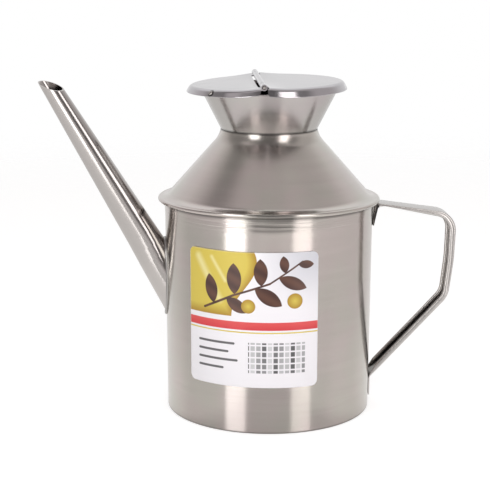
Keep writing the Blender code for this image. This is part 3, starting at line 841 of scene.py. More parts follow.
def turned_steel(every, name, dullness, seams, tone=(1, 1, 1)):
    """Turned sheet with fine marks round it; seams are (height where the dark starts, height where it is
    full, 1 if it leans): on the can they give painted shade under the brim and along the foot, and at the
    neck and the funnel's foot dark joint lines.
    """
    steel, shade_and_soil = every.steel, every.steel.shade_and_soil
    material, finish = new_finish(name)
    spot = finish.coordinates()
    x, y, z = finish.axes(spot)
    marks = finish.grain((x, y, z), TURNED_MARKS, 3, 0.6)
    bands = finish.grain((x, y, z), TURNED_BANDS, 2, 0.5)
    wave = finish.grain((x, y, z), TURNED_WAVES, 1, 0.4)
    cloud = finish.noise(spot, TURNED_CLOUD, 3, 0.55)
    plain = [value * part for value, part in zip(steel.wall, tone)]
    tint = finish.mix(cloud.soft(0.35, 0.65), shifted(plain, PINKISH, 1), shifted(plain, GREENISH, 1))
    base = finish.shaded(tint, 0.93 + 0.09 * bands + 0.05 * marks)
    rise = brim_rise(every.can, x, y)
    # Painted shade under the brim and along the foot; dark joint lines at the neck and the funnel's foot.
    shade_and_joint_dark = z * 0
    for dark_start, dark_full, leaning in seams:
        shade_and_joint_dark = shade_and_joint_dark + (z - rise * leaning).ramp(dark_start, dark_full)
    base = finish.mix(shade_and_joint_dark.clamped() * steel.seam_dark, base, shade_and_soil)
    rippled = rippled_zone(steel, every.can.brim_height + rise - z)
    ripples = finish.grain((x, y, z), RIPPLES, 2, 0.5)
    # Painted dark reflection on the front of the rippled wall under the brim.
    in_front = (-y).soft(0, 0.01)
    middle_band = 1 - abs(x - steel.reflection_place).soft(steel.reflection_full, steel.reflection_end)
    dark_reflection = rippled * middle_band * in_front
    dark = steel.reflection_dark + steel.reflection_lines * ripples.soft(0.35, 0.65)
    base = finish.mix(dark_reflection * dark, base, shade_and_soil)
    height = marks * 0.10 + wave * 14 + ripples * rippled * 2.5
    roughness = steel.wall_roughness + dullness - 0.03 + 0.06 * bands
    quarter_turn = 0.25
    round_it = {"Anisotropic": steel.wall_grain, "Anisotropic Rotation": quarter_turn}
    finish.metal(base, roughness, finish.relief(height, TURNED_RELIEF), round_it)
    return material


def lid_steel(every):
    """The lid's pressed sheet, with faint straight polishing marks and a dark ring round each rivet."""
    steel = every.steel
    material, finish = new_finish("pressed_lid_steel")
    spot = finish.coordinates()
    x, y, z = finish.axes(spot)
    marks = finish.grain((x, y, z), PRESSED_MARKS, 3, 0.6)
    cloud = finish.noise(spot, PRESSED_CLOUD, 2, 0.5)
    pink, green = shifted(steel.lid, PINKISH, 0.5), shifted(steel.lid, GREENISH, 0.4)
    base = finish.shaded(finish.mix(cloud.soft(0.3, 0.7), pink, green), 0.96 + 0.07 * marks)
    fixed = LidHalf(every, -1)
    radius, height = fixed.on_skirt(every.lid.rivet_share)
    for side in (-1, 1):
        rivet = rivet_stand(fixed, side) @ Vector((radius, 0, height))
        ring = distance(x - rivet.x, y - rivet.y, z - rivet.z).band(*RIVET_RING)
        base = finish.mix(ring * steel.rivet_dark, base, steel.shade_and_soil)
    roughness = steel.lid_roughness - 0.03 + 0.07 * cloud
    finish.metal(base, roughness, finish.relief(marks * 0.2 + cloud * 3, PRESSED_RELIEF))
    return material


def polished_steel(every, name, tint, roughness, lengthwise, painted_shade=None):
    """Polished strip and tube, with faint marks along one direction and painted shade where the mesh names
    it.
    """
    material, finish = new_finish(name)
    spot = finish.coordinates()
    x, y, z = finish.axes(spot)
    along = x * lengthwise[0] + z * lengthwise[1]
    across = z * lengthwise[0] - x * lengthwise[1]
    marks = finish.grain((along, across, y), STRIP_MARKS, 2, 0.5)
    cloud = finish.noise(spot, STRIP_CLOUD, 2, 0.5)
    base = finish.shaded(tint, 0.95 + 0.05 * marks + 0.04 * cloud)
    # Painted shade, as much as the mesh's attribute gives.
    if painted_shade:
        shadowing = finish.add("ShaderNodeAttribute", {"attribute_name": painted_shade}, None, "Fac")
        base = finish.mix(shadowing.soft(0.0, 0.75), base, every.steel.shade_and_soil)
    normal = finish.relief(marks * 0.05 + cloud * 2, STRIP_RELIEF)
    finish.metal(base, roughness - 0.02 + 0.05 * cloud, normal)
    return material


# Paper

# The label's print, in millimetres from its lower left corner: bars are (start, end, half width)
SPRIG = (
    ((9.0, 36.5), (24.0, 43.5), 0.55),
    ((24.0, 43.5), (41.0, 49.5), 0.48),
    ((41.0, 49.5), (56.0, 59.5), 0.40),
)
LEAVES = (
    ((14.0, 39.0), (11.5, 52.5), 3.2), ((20.5, 42.0), (30.5, 35.6), 2.9),
    ((24.5, 44.0), (24.0, 58.5), 3.5), ((34.0, 47.0), (46.5, 39.0), 3.4),
    ((37.0, 48.3), (36.5, 61.0), 3.2), ((45.0, 52.2), (58.0, 47.0), 3.0),
    ((48.0, 54.4), (47.0, 62.3), 2.2), ((54.0, 58.2), (61.5, 58.0), 1.9),
)
FRUITS = (((31.0, 38.6), 3.3), ((52.5, 41.2), 3.6))
WIDE_GLEAM = ((5.5, 60.0), (17.0, 41.0), 1.5)
SMALL_GLEAM = ((13.0, 60.5), (20.0, 50.0), 0.7)
SHORE = 29
SHORE_WAVE = 6.0
SHORE_TURN = 0.125
FIELD_FOOT = 33.6
FIELD_MARGIN = 32.4
RIBBON = (27.4, 31.2)
GOLD_LINE = (25.9, 26.5)
RULES = (
    ((6.0, 20.6), (24.0, 20.6), 0.55),
    ((6.0, 16.6), (21.0, 16.6), 0.55),
    ((6.0, 12.6), (25.5, 12.6), 0.55),
    ((6.0, 8.6), (18.5, 8.6), 0.55),
)
PANEL_ACROSS = (31.0, 57.5)
PANEL_UP = (7.0, 21.5)
CHECK_WIDTH = 2.65
CHECK_HEIGHT = 2.9
CHECK_MARGIN = 0.12
MILLIMETRES = 1000


def capsule(u, v, start, end, radius):
    """How far inside a straight bar with round ends a place lies, in millimetres."""
    length = math.dist(start, end)
    du, dv = (end[0] - start[0]) / length, (end[1] - start[1]) / length
    along = ((u - start[0]) * du + (v - start[1]) * dv).most(0).least(length)
    return radius - distance(u - start[0] - along * du, v - start[1] - along * dv)


def disc(u, v, centre, radius):
    return radius - distance(u - centre[0], v - centre[1])


def leaf(u, v, root, tip, half_width):
    """How far inside a pointed leaf a place lies: the overlap of two discs."""
    half = math.dist(root, tip) / 2
    radius = (half * half + half_width * half_width) / (2 * half_width)
    middle = ((root[0] + tip[0]) / 2, (root[1] + tip[1]) / 2)
    aside = ((root[1] - tip[1]) / (2 * half), (tip[0] - root[0]) / (2 * half))
    shift = radius - half_width
    first = disc(u, v, (middle[0] + aside[0] * shift, middle[1] + aside[1] * shift), radius)
    second = disc(u, v, (middle[0] - aside[0] * shift, middle[1] - aside[1] * shift), radius)
    return first.least(second)


def inside(value, limits):
    """How far inside two limits a value lies."""
    return (value - limits[0]).least(limits[1] - value)


def printed(depth, softness=0.12):
    """Turns a depth inside a printed form into a mask with a soft edge."""
    return depth.soft(-softness, softness)


def print_field(finish, label, u, v, under):
    """The oil field with its wavy shore, its white margin and its two gleams."""
    shore = SHORE + SHORE_WAVE * (v * SHORE_TURN + 0.5).sine() - u
    field = shore.least(v - FIELD_FOOT)
    margin = shore.least(v - FIELD_MARGIN) + 1.5
    under = finish.mix(printed(margin, 0.8), under, label.white)
    oil = finish.mix(field.ramp(0, 4.5), label.amber, label.gold)
    gleam = printed(capsule(u, v, *WIDE_GLEAM), 1.6).most(printed(capsule(u, v, *SMALL_GLEAM), 0.9))
    oil = finish.mix(gleam * 0.7, oil, label.gleam)
    return finish.mix(printed(field), under, oil)


def print_sprig(finish, label, u, v, under):
    """The dark sprig with its leaves, and the two fruits on it."""
    stems = [capsule(u, v, *stem) for stem in SPRIG]
    sprig = reduce(Value.most, stems + [leaf(u, v, *shape) for shape in LEAVES])
    tone = finish.mix((v * 0.9 + u * 0.5).sine() * 0.5 + 0.5, label.brown, label.light_brown)
    under = finish.mix(printed(sprig), under, tone)
    for centre, radius in FRUITS:
        fruit = disc(u, v, centre, radius)
        skin_tone = finish.mix(fruit.ramp(0, radius), label.amber, label.gold)
        under = finish.mix(printed(fruit), under, skin_tone)
    return under


def print_ribbon(finish, label, v, under):
    """The plain red ribbon, with a gold line below it."""
    part = (v - RIBBON[0]) / (RIBBON[1] - RIBBON[0])
    red_tone = finish.mix(part, label.red, label.light_red)
    under = finish.mix(printed(inside(v, RIBBON)), under, red_tone)
    return finish.mix(printed(inside(v, GOLD_LINE), 0.08), under, label.gold)


def print_panel(finish, label, u, v, under):
    """The four plain rules and the panel of grey checks."""
    rules = reduce(Value.most, [capsule(u, v, *rule) for rule in RULES])
    under = finish.mix(printed(rules) * 0.9, under, label.ink)
    column, row = u / CHECK_WIDTH, v / CHECK_HEIGHT
    check = (CHECK_MARGIN, 1 - CHECK_MARGIN)
    tile = inside(column.fraction(), check).least(inside(row.fraction(), check))
    grey = 0.10 + 0.55 * ((column.whole() * 0.37 + row.whole() * 0.61) * 5.3).sine() ** 2
    patch = finish.mix(printed(tile, 0.06), label.white, finish.vector(grey, grey, grey * 1.03))
    panel = inside(u, PANEL_ACROSS).least(inside(v, PANEL_UP))
    return finish.mix(printed(panel), under, patch)


def label_paper(every):
    """Coated paper with a plain oil field, a sprig, a ribbon, rules and checks, and no words."""
    label = every.label
    width, height = label.width * MILLIMETRES, label.height * MILLIMETRES
    material, finish = new_finish("printed_label_paper")
    u, v, _ = finish.axes(finish.coordinates("UV"))
    u, v = u * width, v * height
    wash = v.soft(34, 62) * u.soft(28, 60)
    base = finish.mix(wash * 0.55, label.white, label.shade)
    base = print_field(finish, label, u, v, base)
    base = print_sprig(finish, label, u, v, base)
    base = print_ribbon(finish, label, v, base)
    base = print_panel(finish, label, u, v, base)
    edge = inside(u, (0, width)).least(inside(v, (0, height)))
    base = finish.mix((1 - edge.ramp(0.0, 0.5)) * 0.35, base, label.worn)
    sheet = finish.vector(u, v, 0.0)
    fibre = finish.noise(sheet, 2.2, 3, 0.6)
    cockle = finish.noise(sheet, 0.07, 1, 0.4)
    finish.close(finish.add("ShaderNodeBsdfPrincipled", None, {
        "Base Color": finish.shaded(base, 0.985 + 0.03 * fibre),
        "Roughness": 0.42 + 0.08 * fibre,
        "Coat Weight": 0.25,
        "Coat Roughness": 0.22,
        "Normal": finish.relief(fibre * 0.05 + cockle * 2, PAPER_RELIEF),
    }))
    return material


# Pieces


class CRUET_OT_can(bpy.types.Operator):
    """Turn the can: its wall, its floor and the flange under the brim"""
    bl_idname = "cruet.can"
    bl_label = "Can"

    def execute(self, context):
        every = settings()
        can = every.can
        flare_foot = flange_under(can) - can.flare_height
        path = rounded_path([
            (can.radius + can.brim_overhang - can.sheet - can.gap, flange_under(can), 0),
            (can.radius + can.flare, flange_under(can), can.flange_round),
            (wall_radius(can, flare_foot), flare_foot, can.flare_height),
            (can.foot_radius, 0, can.base_corner),
            (can.foot_radius - can.base_ring, 0, can.base_corner),
            (can.foot_radius - can.base_ring - can.base_step, can.base_step, can.base_corner),
            (0, can.base_step, 0),
        ])
        mesh = turned("can_wall", sheet_loop(path, can.sheet), can.faces)
        wall = place("can_wall", lean_brim(can, mesh))
        spout = every.spout
        reach = 2 * spout.root_radius
        bore = spout.root_radius - spout.sheet - can.gap
        taper = reach * math.tan(spout.half_taper)
        start = spout_frame(every, -reach)
        hole = rod("spout_hole", bore + taper, bore - taper, 2 * reach, SPOUT_HOLE_FACES, start)
        shaped(wall, [hole])
        steel = every.steel
        # Painted shade below the brim and along the foot.
        seams = (
            (flange_under(can) - steel.brim_seam, flange_under(can) - steel.brim_seam_full, 1),
            (steel.foot_seam, steel.foot_seam_full, 0),
        )
        wall.data.materials.append(turned_steel(every, "turned_steel", 0.0, seams))
        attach(wall, VESSEL)
        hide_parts("body_cup")
        return {"FINISHED"}


class CRUET_OT_shoulder(bpy.types.Operator):
    """Turn the shoulder: brim, cone and neck"""
    bl_idname = "cruet.shoulder"
    bl_label = "Shoulder"

    def execute(self, context):
        every = settings()
        can = every.can
        half_angle = math.atan2(can.cone_radius - can.waist_radius, can.cone_rise)
        drop = can.neck_arc * math.tan((half_angle - can.neck_lean) / 2)
        corner = (can.waist_radius + drop * math.sin(can.neck_lean), waist_height(can) - drop)
        brim = can.radius + can.brim_overhang
        path = rounded_path([
            (can.waist_radius, waist_height(can), 0),
            (*corner, can.neck_arc * can.neck_ease),
            (can.cone_radius, can.brim_height, can.cone_fillet),
            (brim, can.brim_height, can.brim_corner),
            (brim, can.brim_height - can.brim_edge, can.brim_corner),
            (brim - can.brim_curl, can.brim_height - can.brim_edge, 0),
        ], steps=10)
        mesh = turned("cone_shoulder", sheet_loop(path, can.sheet), can.faces)
        cone = place("cone_shoulder", lean_brim(can, mesh))
        steel = every.steel
        seams = ((waist_height(can) - steel.neck_seam, waist_height(can) - steel.neck_seam_full, 0),)
        cone.data.materials.append(turned_steel(every, "spun_steel", steel.spun_roughness, seams))
        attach(cone, VESSEL)
        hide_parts("shoulder_cone")
        return {"FINISHED"}


class CRUET_OT_funnel(bpy.types.Operator):
    """Turn the funnel mouth with its rolled rim, its spigot and the two ears for the lid"""
    bl_idname = "cruet.funnel"
    bl_label = "Funnel mouth"

    def execute(self, context):
        every = settings()
        can, funnel, rim = every.can, every.funnel, Rim(every)
        first = -funnel.curl
        last = math.pi - funnel.half_angle
        steps = 16
        path = []
        for step in range(steps + 1):
            turn = first + (last - first) * step / steps
            path.append(Vector((
                rim.bead_centre + rim.curl_radius * math.cos(turn),
                rim.bead_height + rim.curl_radius * math.sin(turn),
            )))
        path.append(Vector((rim.foot_radius, rim.foot_height)))
        path.append(Vector((rim.spigot_radius, rim.foot_height)))
        path.append(Vector((rim.spigot_radius, waist_height(can) - funnel.spigot)))
        loop = path + beside(path, -can.sheet)[::-1]
        mouth = place("funnel", turned("funnel", loop, can.faces))
        fixed = LidHalf(every, -1)
        ears = [self.ear(every, fixed, side) for side in (-1, 1)]
        holes = [rivet_hole(every, fixed, side) for side in (-1, 1)]
        shaped(mouth, holes, ears)
        steel = every.steel
        seams = ((rim.foot_height + steel.mouth_seam, rim.foot_height + steel.mouth_seam_full, 0),)
        mouth.data.materials.append(turned_steel(every, "funnel_steel", 0.0, seams, steel.funnel_tone))
        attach(mouth, VESSEL)
        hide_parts("funnel_mouth")
        return {"FINISHED"}

    def ear(self, every, fixed, side):
        """A tab of the rim that reaches out to the fixed half's skirt."""
        lid, rim = every.lid, fixed.rim
        slant = Vector((math.cos(fixed.slope()), -math.sin(fixed.slope())))
        inward = Vector((slant.y, -slant.x)) * (lid.sheet + every.can.gap)
        top = fixed.top - lid.sheet - lid.ear_under
        corner = fixed.on_skirt(0) + inward
        bend = corner + slant * ((top - corner.y) / slant.y)
        foot = fixed.on_skirt(lid.ear_share) + inward
        root = rim.bead_centre - abs(lid.centre_x) * math.cos(lid.rivet_angle)
        path = rounded_path([(foot.x, foot.y, 0), (bend.x, bend.y, lid.ear_bend), (root, top, 0)])
        outline = path + beside(path, -lid.ear_sheet)[::-1]
        stand = rivet_stand(fixed, side) @ Matrix.Rotation(math.pi / 2, 4, "X")
        return plate("ear", outline, lid.ear_width, stand)


class CRUET_OT_lid(bpy.types.Operator):
    """Press both halves of the lid, with their skirts and rolled knuckles"""
    bl_idname = "cruet.lid"
    bl_label = "Lid halves"

    def execute(self, context):
        every = settings()
        material = lid_steel(every)
        for side, name, node, body in (
            (-1, "lid_plate_fixed", "fixed_lid_half", VESSEL),
            (1, "lid_plate_hinged", "hinged_lid_half", LID),
        ):
            half = LidHalf(every, side)
            item = self.press(every, half, name)
            item.data.materials.append(material)
            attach(item, body)
            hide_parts(node)
        return {"FINISHED"}

    def press(self, every, half, name):
        lid, rim = every.lid, half.rim
        edge, foot = half.on_skirt(0), half.on_skirt(1 - lid.sheet / 2 / half.drop)
        corners = [(0, half.top, 0), (edge.x, edge.y, lid.edge_round), (foot.x, foot.y, 0)]
        plate_rings = 12
        path = [Vector((edge.x * step / plate_rings, half.top)) for step in range(plate_rings)]
        path += rounded_path(corners, steps=8)[1:]
        outline = sheet_loop(path, lid.sheet, steps=6)
        item = place(name, turned(name, outline, every.can.faces, lid.centre_x))
        self.raise_ridge(item, lid, rim)
        reach = rim.skirt_radius + abs(lid.centre_x) + abs(lid.hinge_x) + OVERRUN
        low = half.top - half.drop - OVERRUN
        high = half.top + 2 * OVERRUN
        far = lid.hinge_x - half.side * reach
        clear = lid.hinge_x + half.side * (rim.knuckle + lid.slot)
        rooms = [(lid.hinge_x, -reach, reach)]
        for start, end in half.knuckles(own=False):
            rooms.append((clear, start - lid.side_gap, end + lid.side_gap))
        cuts = []
        for limit, start, end in rooms:
            cuts.append(block("room", (min(far, limit), start, low), (max(far, limit), end, high)))
        cuts.append(self.split(every, half, low, high))
        shaped(item, cuts)
        stand = Matrix.Translation(rim.hinge) @ Matrix.Rotation(-math.pi / 2, 4, "X")
        barrels = []
        for start, end in half.knuckles():
            at = stand @ Matrix.Translation((0, 0, start))
            barrels.append(rod("barrel", rim.knuckle, rim.knuckle, end - start, KNUCKLE_FACES, at))
        long_bore = rim.row / 2 + OVERRUN
        at = stand @ Matrix.Translation((0, 0, -long_bore))
        bore = rod("bore", rim.bore, rim.bore, 2 * long_bore, KNUCKLE_FACES, at)
        shaped(item, [bore], barrels)
        item.data.transform(half.matrix())
        if half.side < 0:
            shaped(item, [rivet_hole(every, half, side) for side in (-1, 1)])
        return item

    def raise_ridge(self, item, lid, rim):
        """Lifts the plate a little towards the hinge near the lid's edge, as the rolling leaves it."""
        for vertex in item.data.vertices:
            off = abs(vertex.co.x - lid.hinge_x) / lid.ridge_width
            outward = clamp(abs(vertex.co.y) / rim.lid_radius)
            vertex.co.z += lid.ridge * outward ** 2 * math.exp(-off * off)

    def split(self, every, half, low, high):
        """The gap between the two skirts, which widens with a round corner below."""
        lid, rim = every.lid, half.rim
        foot = half.top - half.drop
        gap = lid.split / 2
        wide = gap + lid.end_round + lid.end_flare
        right = rounded_path([
            (gap, high + OVERRUN, 0), (gap, foot, lid.end_round), (wide, foot, 0), (wide, low, 0),
        ])
        left = [Vector((-point.x, point.y)) for point in reversed(right)]
        outline = [Vector((point.x + lid.hinge_x, point.y)) for point in right + left]
        lie = Matrix.Rotation(math.pi / 2, 4, "X")
        reach = rim.skirt_radius + OVERRUN
        tool = plate("split", outline, 2 * reach, lie)
        row = rim.row / 2
        inner = block("row", (-reach, -row, low - OVERRUN), (reach, row, high + 2 * OVERRUN))
        return shaped(tool, [inner])


class CRUET_OT_hinge(bpy.types.Operator):
    """Give the hinge pin and the rivets their polished wire finish"""
    bl_idname = "cruet.hinge"
    bl_label = "Pin and rivets"

    def execute(self, context):
        every = settings()
        steel = every.steel
        material = polished_steel(every, "wire_steel", steel.bare, steel.wire_roughness, (0, 1))
        for name in ("hinge_pin", "lid_rivet_front", "lid_rivet_back"):
            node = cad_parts[name]
            for slot in node.material_slots:
                slot.material = material
        return {"FINISHED"}


def spout_frame(every, along):
    """A frame on the spout's axis, with Z up the spout; along is counted from the can's wall."""
    spout = every.spout
    root = Vector((-wall_radius(every.can, spout.axis_height), 0, spout.axis_height))
    lean = Matrix.Rotation(-spout.lean, 4, "Y")
    return Matrix.Translation(root) @ lean @ Matrix.Translation((0, 0, along))


class CRUET_OT_spout(bpy.types.Operator):
    """Roll the tapered spout, cut its saddle and its mouth, and lay the solder at its root"""
    bl_idname = "cruet.spout"
    bl_label = "Spout"

    def execute(self, context):
        every = settings()
        spout, can = every.spout, every.can
        start = -3 * spout.root_radius
        end = spout.length + 2 * spout.root_radius
        taper = math.tan(spout.half_taper)
        pieces = 24
        path = []
        for step in range(pieces + 1):
            along = end + (start - end) * step / pieces
            path.append(Vector((spout.root_radius - along * taper, along)))
        loop = path + [Vector((point.x - spout.sheet, point.y)) for point in reversed(path)]
        tube = place("spout", turned("spout", loop, spout.faces))
        for vertex in tube.data.vertices:
            spot = vertex.co
            part = clamp((spot.z - spout.oval_start) / (spout.oval_full - spout.oval_start))
            oval = spout.oval * part * part * (3 - 2 * part)
            grown = (1 - 2 * oval * oval) * (1 - 2 * oval * spot.x * spot.y / (spot.x ** 2 + spot.y ** 2))
            spot.x, spot.y = spot.x * grown, spot.y * grown
        tube.data.transform(spout_frame(every, 0))
        foot = can.foot_radius + can.gap
        top = wall_radius(can, can.brim_height) + can.gap
        saddle = rod("saddle", foot, top, can.brim_height, can.faces)
        shaped(tube, [saddle, self.mouth_cut(every)])
        steel = every.steel
        upwards = (-math.sin(spout.lean), math.cos(spout.lean))
        strip = polished_steel(every, "rolled_spout_steel", steel.bare, steel.bare_roughness, upwards)
        tube.data.materials.append(strip)
        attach(tube, VESSEL)
        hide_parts("spout_tube")
        self.solder(every)
        return {"FINISHED"}

    def mouth_cut(self, every):
        spout = every.spout
        room = 2 * spout.length
        point = spout_frame(every, spout.length + spout.mouth_rise).translation
        normal = Vector((math.tan(spout.mouth_fall), -math.tan(spout.mouth_skew), 1))
        tilt = normal.to_track_quat("Z", "Y").to_matrix().to_4x4()
        return block("mouth_cut", (-room, -room, 0), (room, room, room), Matrix.Translation(point) @ tilt)

    def solder(self, every):
        """A thin bead of solder along the line where the spout meets the wall."""
        spout, can = every.spout, every.can
        steps, round_steps, tries = 160, 10, 12
        rise = spout.bead * spout.bead_rise
        line = []
        for step in range(steps):
            turn = math.tau * step / steps
            along = 0
            for _ in range(tries):
                radius = spout.root_radius - along * math.tan(spout.half_taper) + rise
                spot = Vector((radius * math.cos(turn), radius * math.sin(turn), 0))
                here = spout_frame(every, along) @ spot
                wall = wall_radius(can, here.z) + can.gap * spout.bead_seat
                along += (wall - math.hypot(here.x, here.y)) / math.sin(spout.lean)
            line.append(here)
        shape = bmesh.new()
        rings = []
        for index, here in enumerate(line):
            ahead = (line[(index + 1) % steps] - line[index - 1]).normalized()
            outward = Vector((here.x, here.y, 0)).normalized()
            side = ahead.cross(outward).normalized()
            up = side.cross(ahead).normalized()
            ring = []
            for step in range(round_steps):
                turn = math.tau * step / round_steps
                off = (side * math.cos(turn) + up * math.sin(turn)) * spout.bead
                ring.append(shape.verts.new(here + off))
            rings.append(ring)
        skin(shape, rings, closed=True)
        bead = place("spout_solder", finish_mesh(shape, "spout_solder"))
        steel = every.steel
        dressed = polished_steel(every, "dressed_solder", steel.solder, steel.solder_roughness, (0, 1))
        bead.data.materials.append(dressed)
        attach(bead, VESSEL)


class CRUET_OT_handle(bpy.types.Operator):
    """Press the channel handle with its two curved tabs"""
    bl_idname = "cruet.handle"
    bl_label = "Handle"

    def execute(self, context):
        every = settings()
        can, handle = every.can, every.handle
        stations, lengths = self.stations(every)
        tab = handle.lower_height - handle.lower_foot
        arm_start = handle.arm_height - handle.upper_foot
        arm_end = arm_start + handle.top_reach - handle.arm_reach
        tab_start = lengths[-1] - tab
        curve = can.foot_radius + can.gap
        shape = bmesh.new()
        # How much painted shade each vertex of the strap has.
        painted_shade = shape.verts.layers.float.new(PAINTED_SHADE)
        rings = []
        for index, point in enumerate(stations):
            before = stations[max(index - 1, 0)]
            after = stations[min(index + 1, len(stations) - 1)]
            along = (after - before).normalized()
            inward = Vector((along.y, -along.x))
            depth = self.depth(handle, lengths[index], arm_start, arm_end, tab_start)
            follow = self.follow(handle, lengths[index], arm_start, tab_start)
            ring = []
            part = lengths[index] / lengths[-1]
            pressed = clamp((handle.channel_shade_start - part) / handle.crease_fade)
            for across, inset in self.section(handle, depth, pressed):
                spot = point + inward * inset
                sag = curve - math.sqrt(curve ** 2 - across ** 2)
                vertex = shape.verts.new((spot.x - sag * follow, across, spot.y))
                vertex[painted_shade] = self.shadowing(handle, depth, across, inset, part, pressed)
                # Painted shade fills the inside of the upper tab under the brim.
                if lengths[index] < arm_start and inset > handle.sheet / 2:
                    vertex[painted_shade] = 1
                ring.append(vertex)
            rings.append(ring)
        skin(shape, rings, closed=False)
        shape.faces.new(rings[0][::-1])
        shape.faces.new(rings[-1])
        strap = place("handle", finish_mesh(shape, "handle"))
        steel = every.steel
        name, upwards = "pressed_handle_steel", (0.2, 1)
        strip = polished_steel(every, name, steel.strap, steel.strap_roughness, upwards, PAINTED_SHADE)
        strap.data.materials.append(strip)
        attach(strap, VESSEL)
        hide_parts("handle_strap")
        return {"FINISHED"}

    def stations(self, every):
        """Places along the strap's outer face, and how far along each one lies."""
        can, handle = every.can, every.handle
        face = can.gap + handle.sheet
        path = rounded_path([
            (wall_radius(can, handle.upper_foot) + can.gap, handle.upper_foot, 0),
            (handle.arm_reach, handle.arm_height, handle.arm_bend),
            (handle.top_reach, handle.top_height, handle.top_bend),
            (handle.waist_reach, handle.waist_height, handle.bow),
            (handle.foot_reach, handle.foot_height, handle.foot_bend),
            (wall_radius(can, handle.lower_height) + face, handle.lower_height, handle.lower_bend),
            (wall_radius(can, handle.lower_foot) + face, handle.lower_foot, 0),
        ], steps=14)
        stations = []
        for before, after in zip(path, path[1:]):
            pieces = max(1, round((after - before).length / handle.spacing))
            stations += [before.lerp(after, step / pieces) for step in range(pieces)]
        stations.append(path[-1])
        lengths = [0]
        for before, after in zip(stations, stations[1:]):
            lengths.append(lengths[-1] + (after - before).length)
        return stations, lengths

    def section(self, handle, depth, pressed):
        """The channel's outline as (across, inward) points."""
        half = handle.width / 2
        part = pressed * clamp((depth - handle.arm_flange) / (handle.flange - handle.arm_flange))
        hem = self.hem(handle, depth)
        middle = depth - 2 * hem
        wide = handle.crease_width * part + handle.lip / 4
        outer = min(handle.corner, (middle - wide) * handle.outer_ease)
        inner = max(handle.corner - handle.sheet, handle.lip / 2)
        inner = min(inner, (middle - handle.sheet) * handle.inner_ease)
        start = -math.acos(min(1, (handle.sheet - hem) / hem))
        right_outer = rounded_path([
            (half, depth - hem, 0),
            (half, middle + wide, 0),
            (half - handle.crease * part, middle, 0),
            (half, middle - wide, 0),
            (half, 0, outer),
            (0, 0, 0),
        ])[:-1]
        right_inner = rounded_path([
            (0, handle.sheet, 0),
            (half - handle.sheet, handle.sheet, inner),
            (half - handle.sheet, depth - hem + hem * math.sin(start) - handle.lip / 4, 0),
        ])[1:]
        foot, end = right_inner[-2:]
        side_steps, edge_steps = 4, 14
        right_inner[-1:] = [foot.lerp(end, (step + 1) / side_steps) for step in range(side_steps)]
        edge = []
        for step in range(edge_steps):
            turn = start + (math.pi - start) * step / edge_steps
            edge.append(Vector((half - hem - hem * math.cos(turn), depth - hem + hem * math.sin(turn))))
        right = right_inner + edge + right_outer
        left = [Vector((-point.x, point.y)) for point in reversed(right)]
        return left + right

    def hem(self, handle, depth):
        """Radius of the rolled edges where the channel has this depth."""
        return min(handle.hem, (depth - handle.sheet) * handle.hem_ease)

    def depth(self, handle, along, arm_start, arm_end, tab_start):
        """How deep the channel is at a place along the strap."""
        least = handle.sheet + handle.lip
        grip = handle.top_height - handle.foot_height
        places = (
            (0, least),
            (arm_start, handle.tab_flange),
            (arm_start + 2 * handle.tab_flange, handle.arm_flange),
            (arm_end, handle.top_flange),
            (arm_end + handle.flange_place * grip, handle.flange),
            (arm_end + handle.low_flange_place * grip, handle.low_flange),
            (tab_start - handle.run_out, handle.low_flange),
            (tab_start, least),
        )
        for (start, first), (end, second) in zip(places, places[1:]):
            if along <= end:
                return first + (second - first) * (along - start) / (end - start)
        return least

    def shadowing(self, handle, depth, across, inset, part, pressed):
        """How much painted shade a place of the section has: deep in the lower arm and along the crease."""
        half = handle.width / 2
        hem = self.hem(handle, depth)
        between_sides = abs(across) <= half - handle.sheet + MERGE
        # Painted shade inside the channel.
        if between_sides and handle.sheet - MERGE <= inset <= depth - handle.channel_shade_edge * hem:
            return handle.channel_shade_dark * clamp((part - handle.channel_shade_start) / handle.channel_shade_fade)
        # Painted shade along the pressed line beside the rolled edge.
        if abs(across) > half - handle.sheet / 2:
            off_crease = abs(inset - depth + 2 * hem)
            return handle.crease_shade * pressed * max(0, 1 - off_crease / handle.crease_width)
        return 0

    def follow(self, handle, along, arm_start, tab_start):
        """How far the strap is curved to the can at a place along it."""
        upper = 1 - along / arm_start
        lower = 1 - (tab_start - along) / handle.run_out
        return clamp(max(upper, lower))


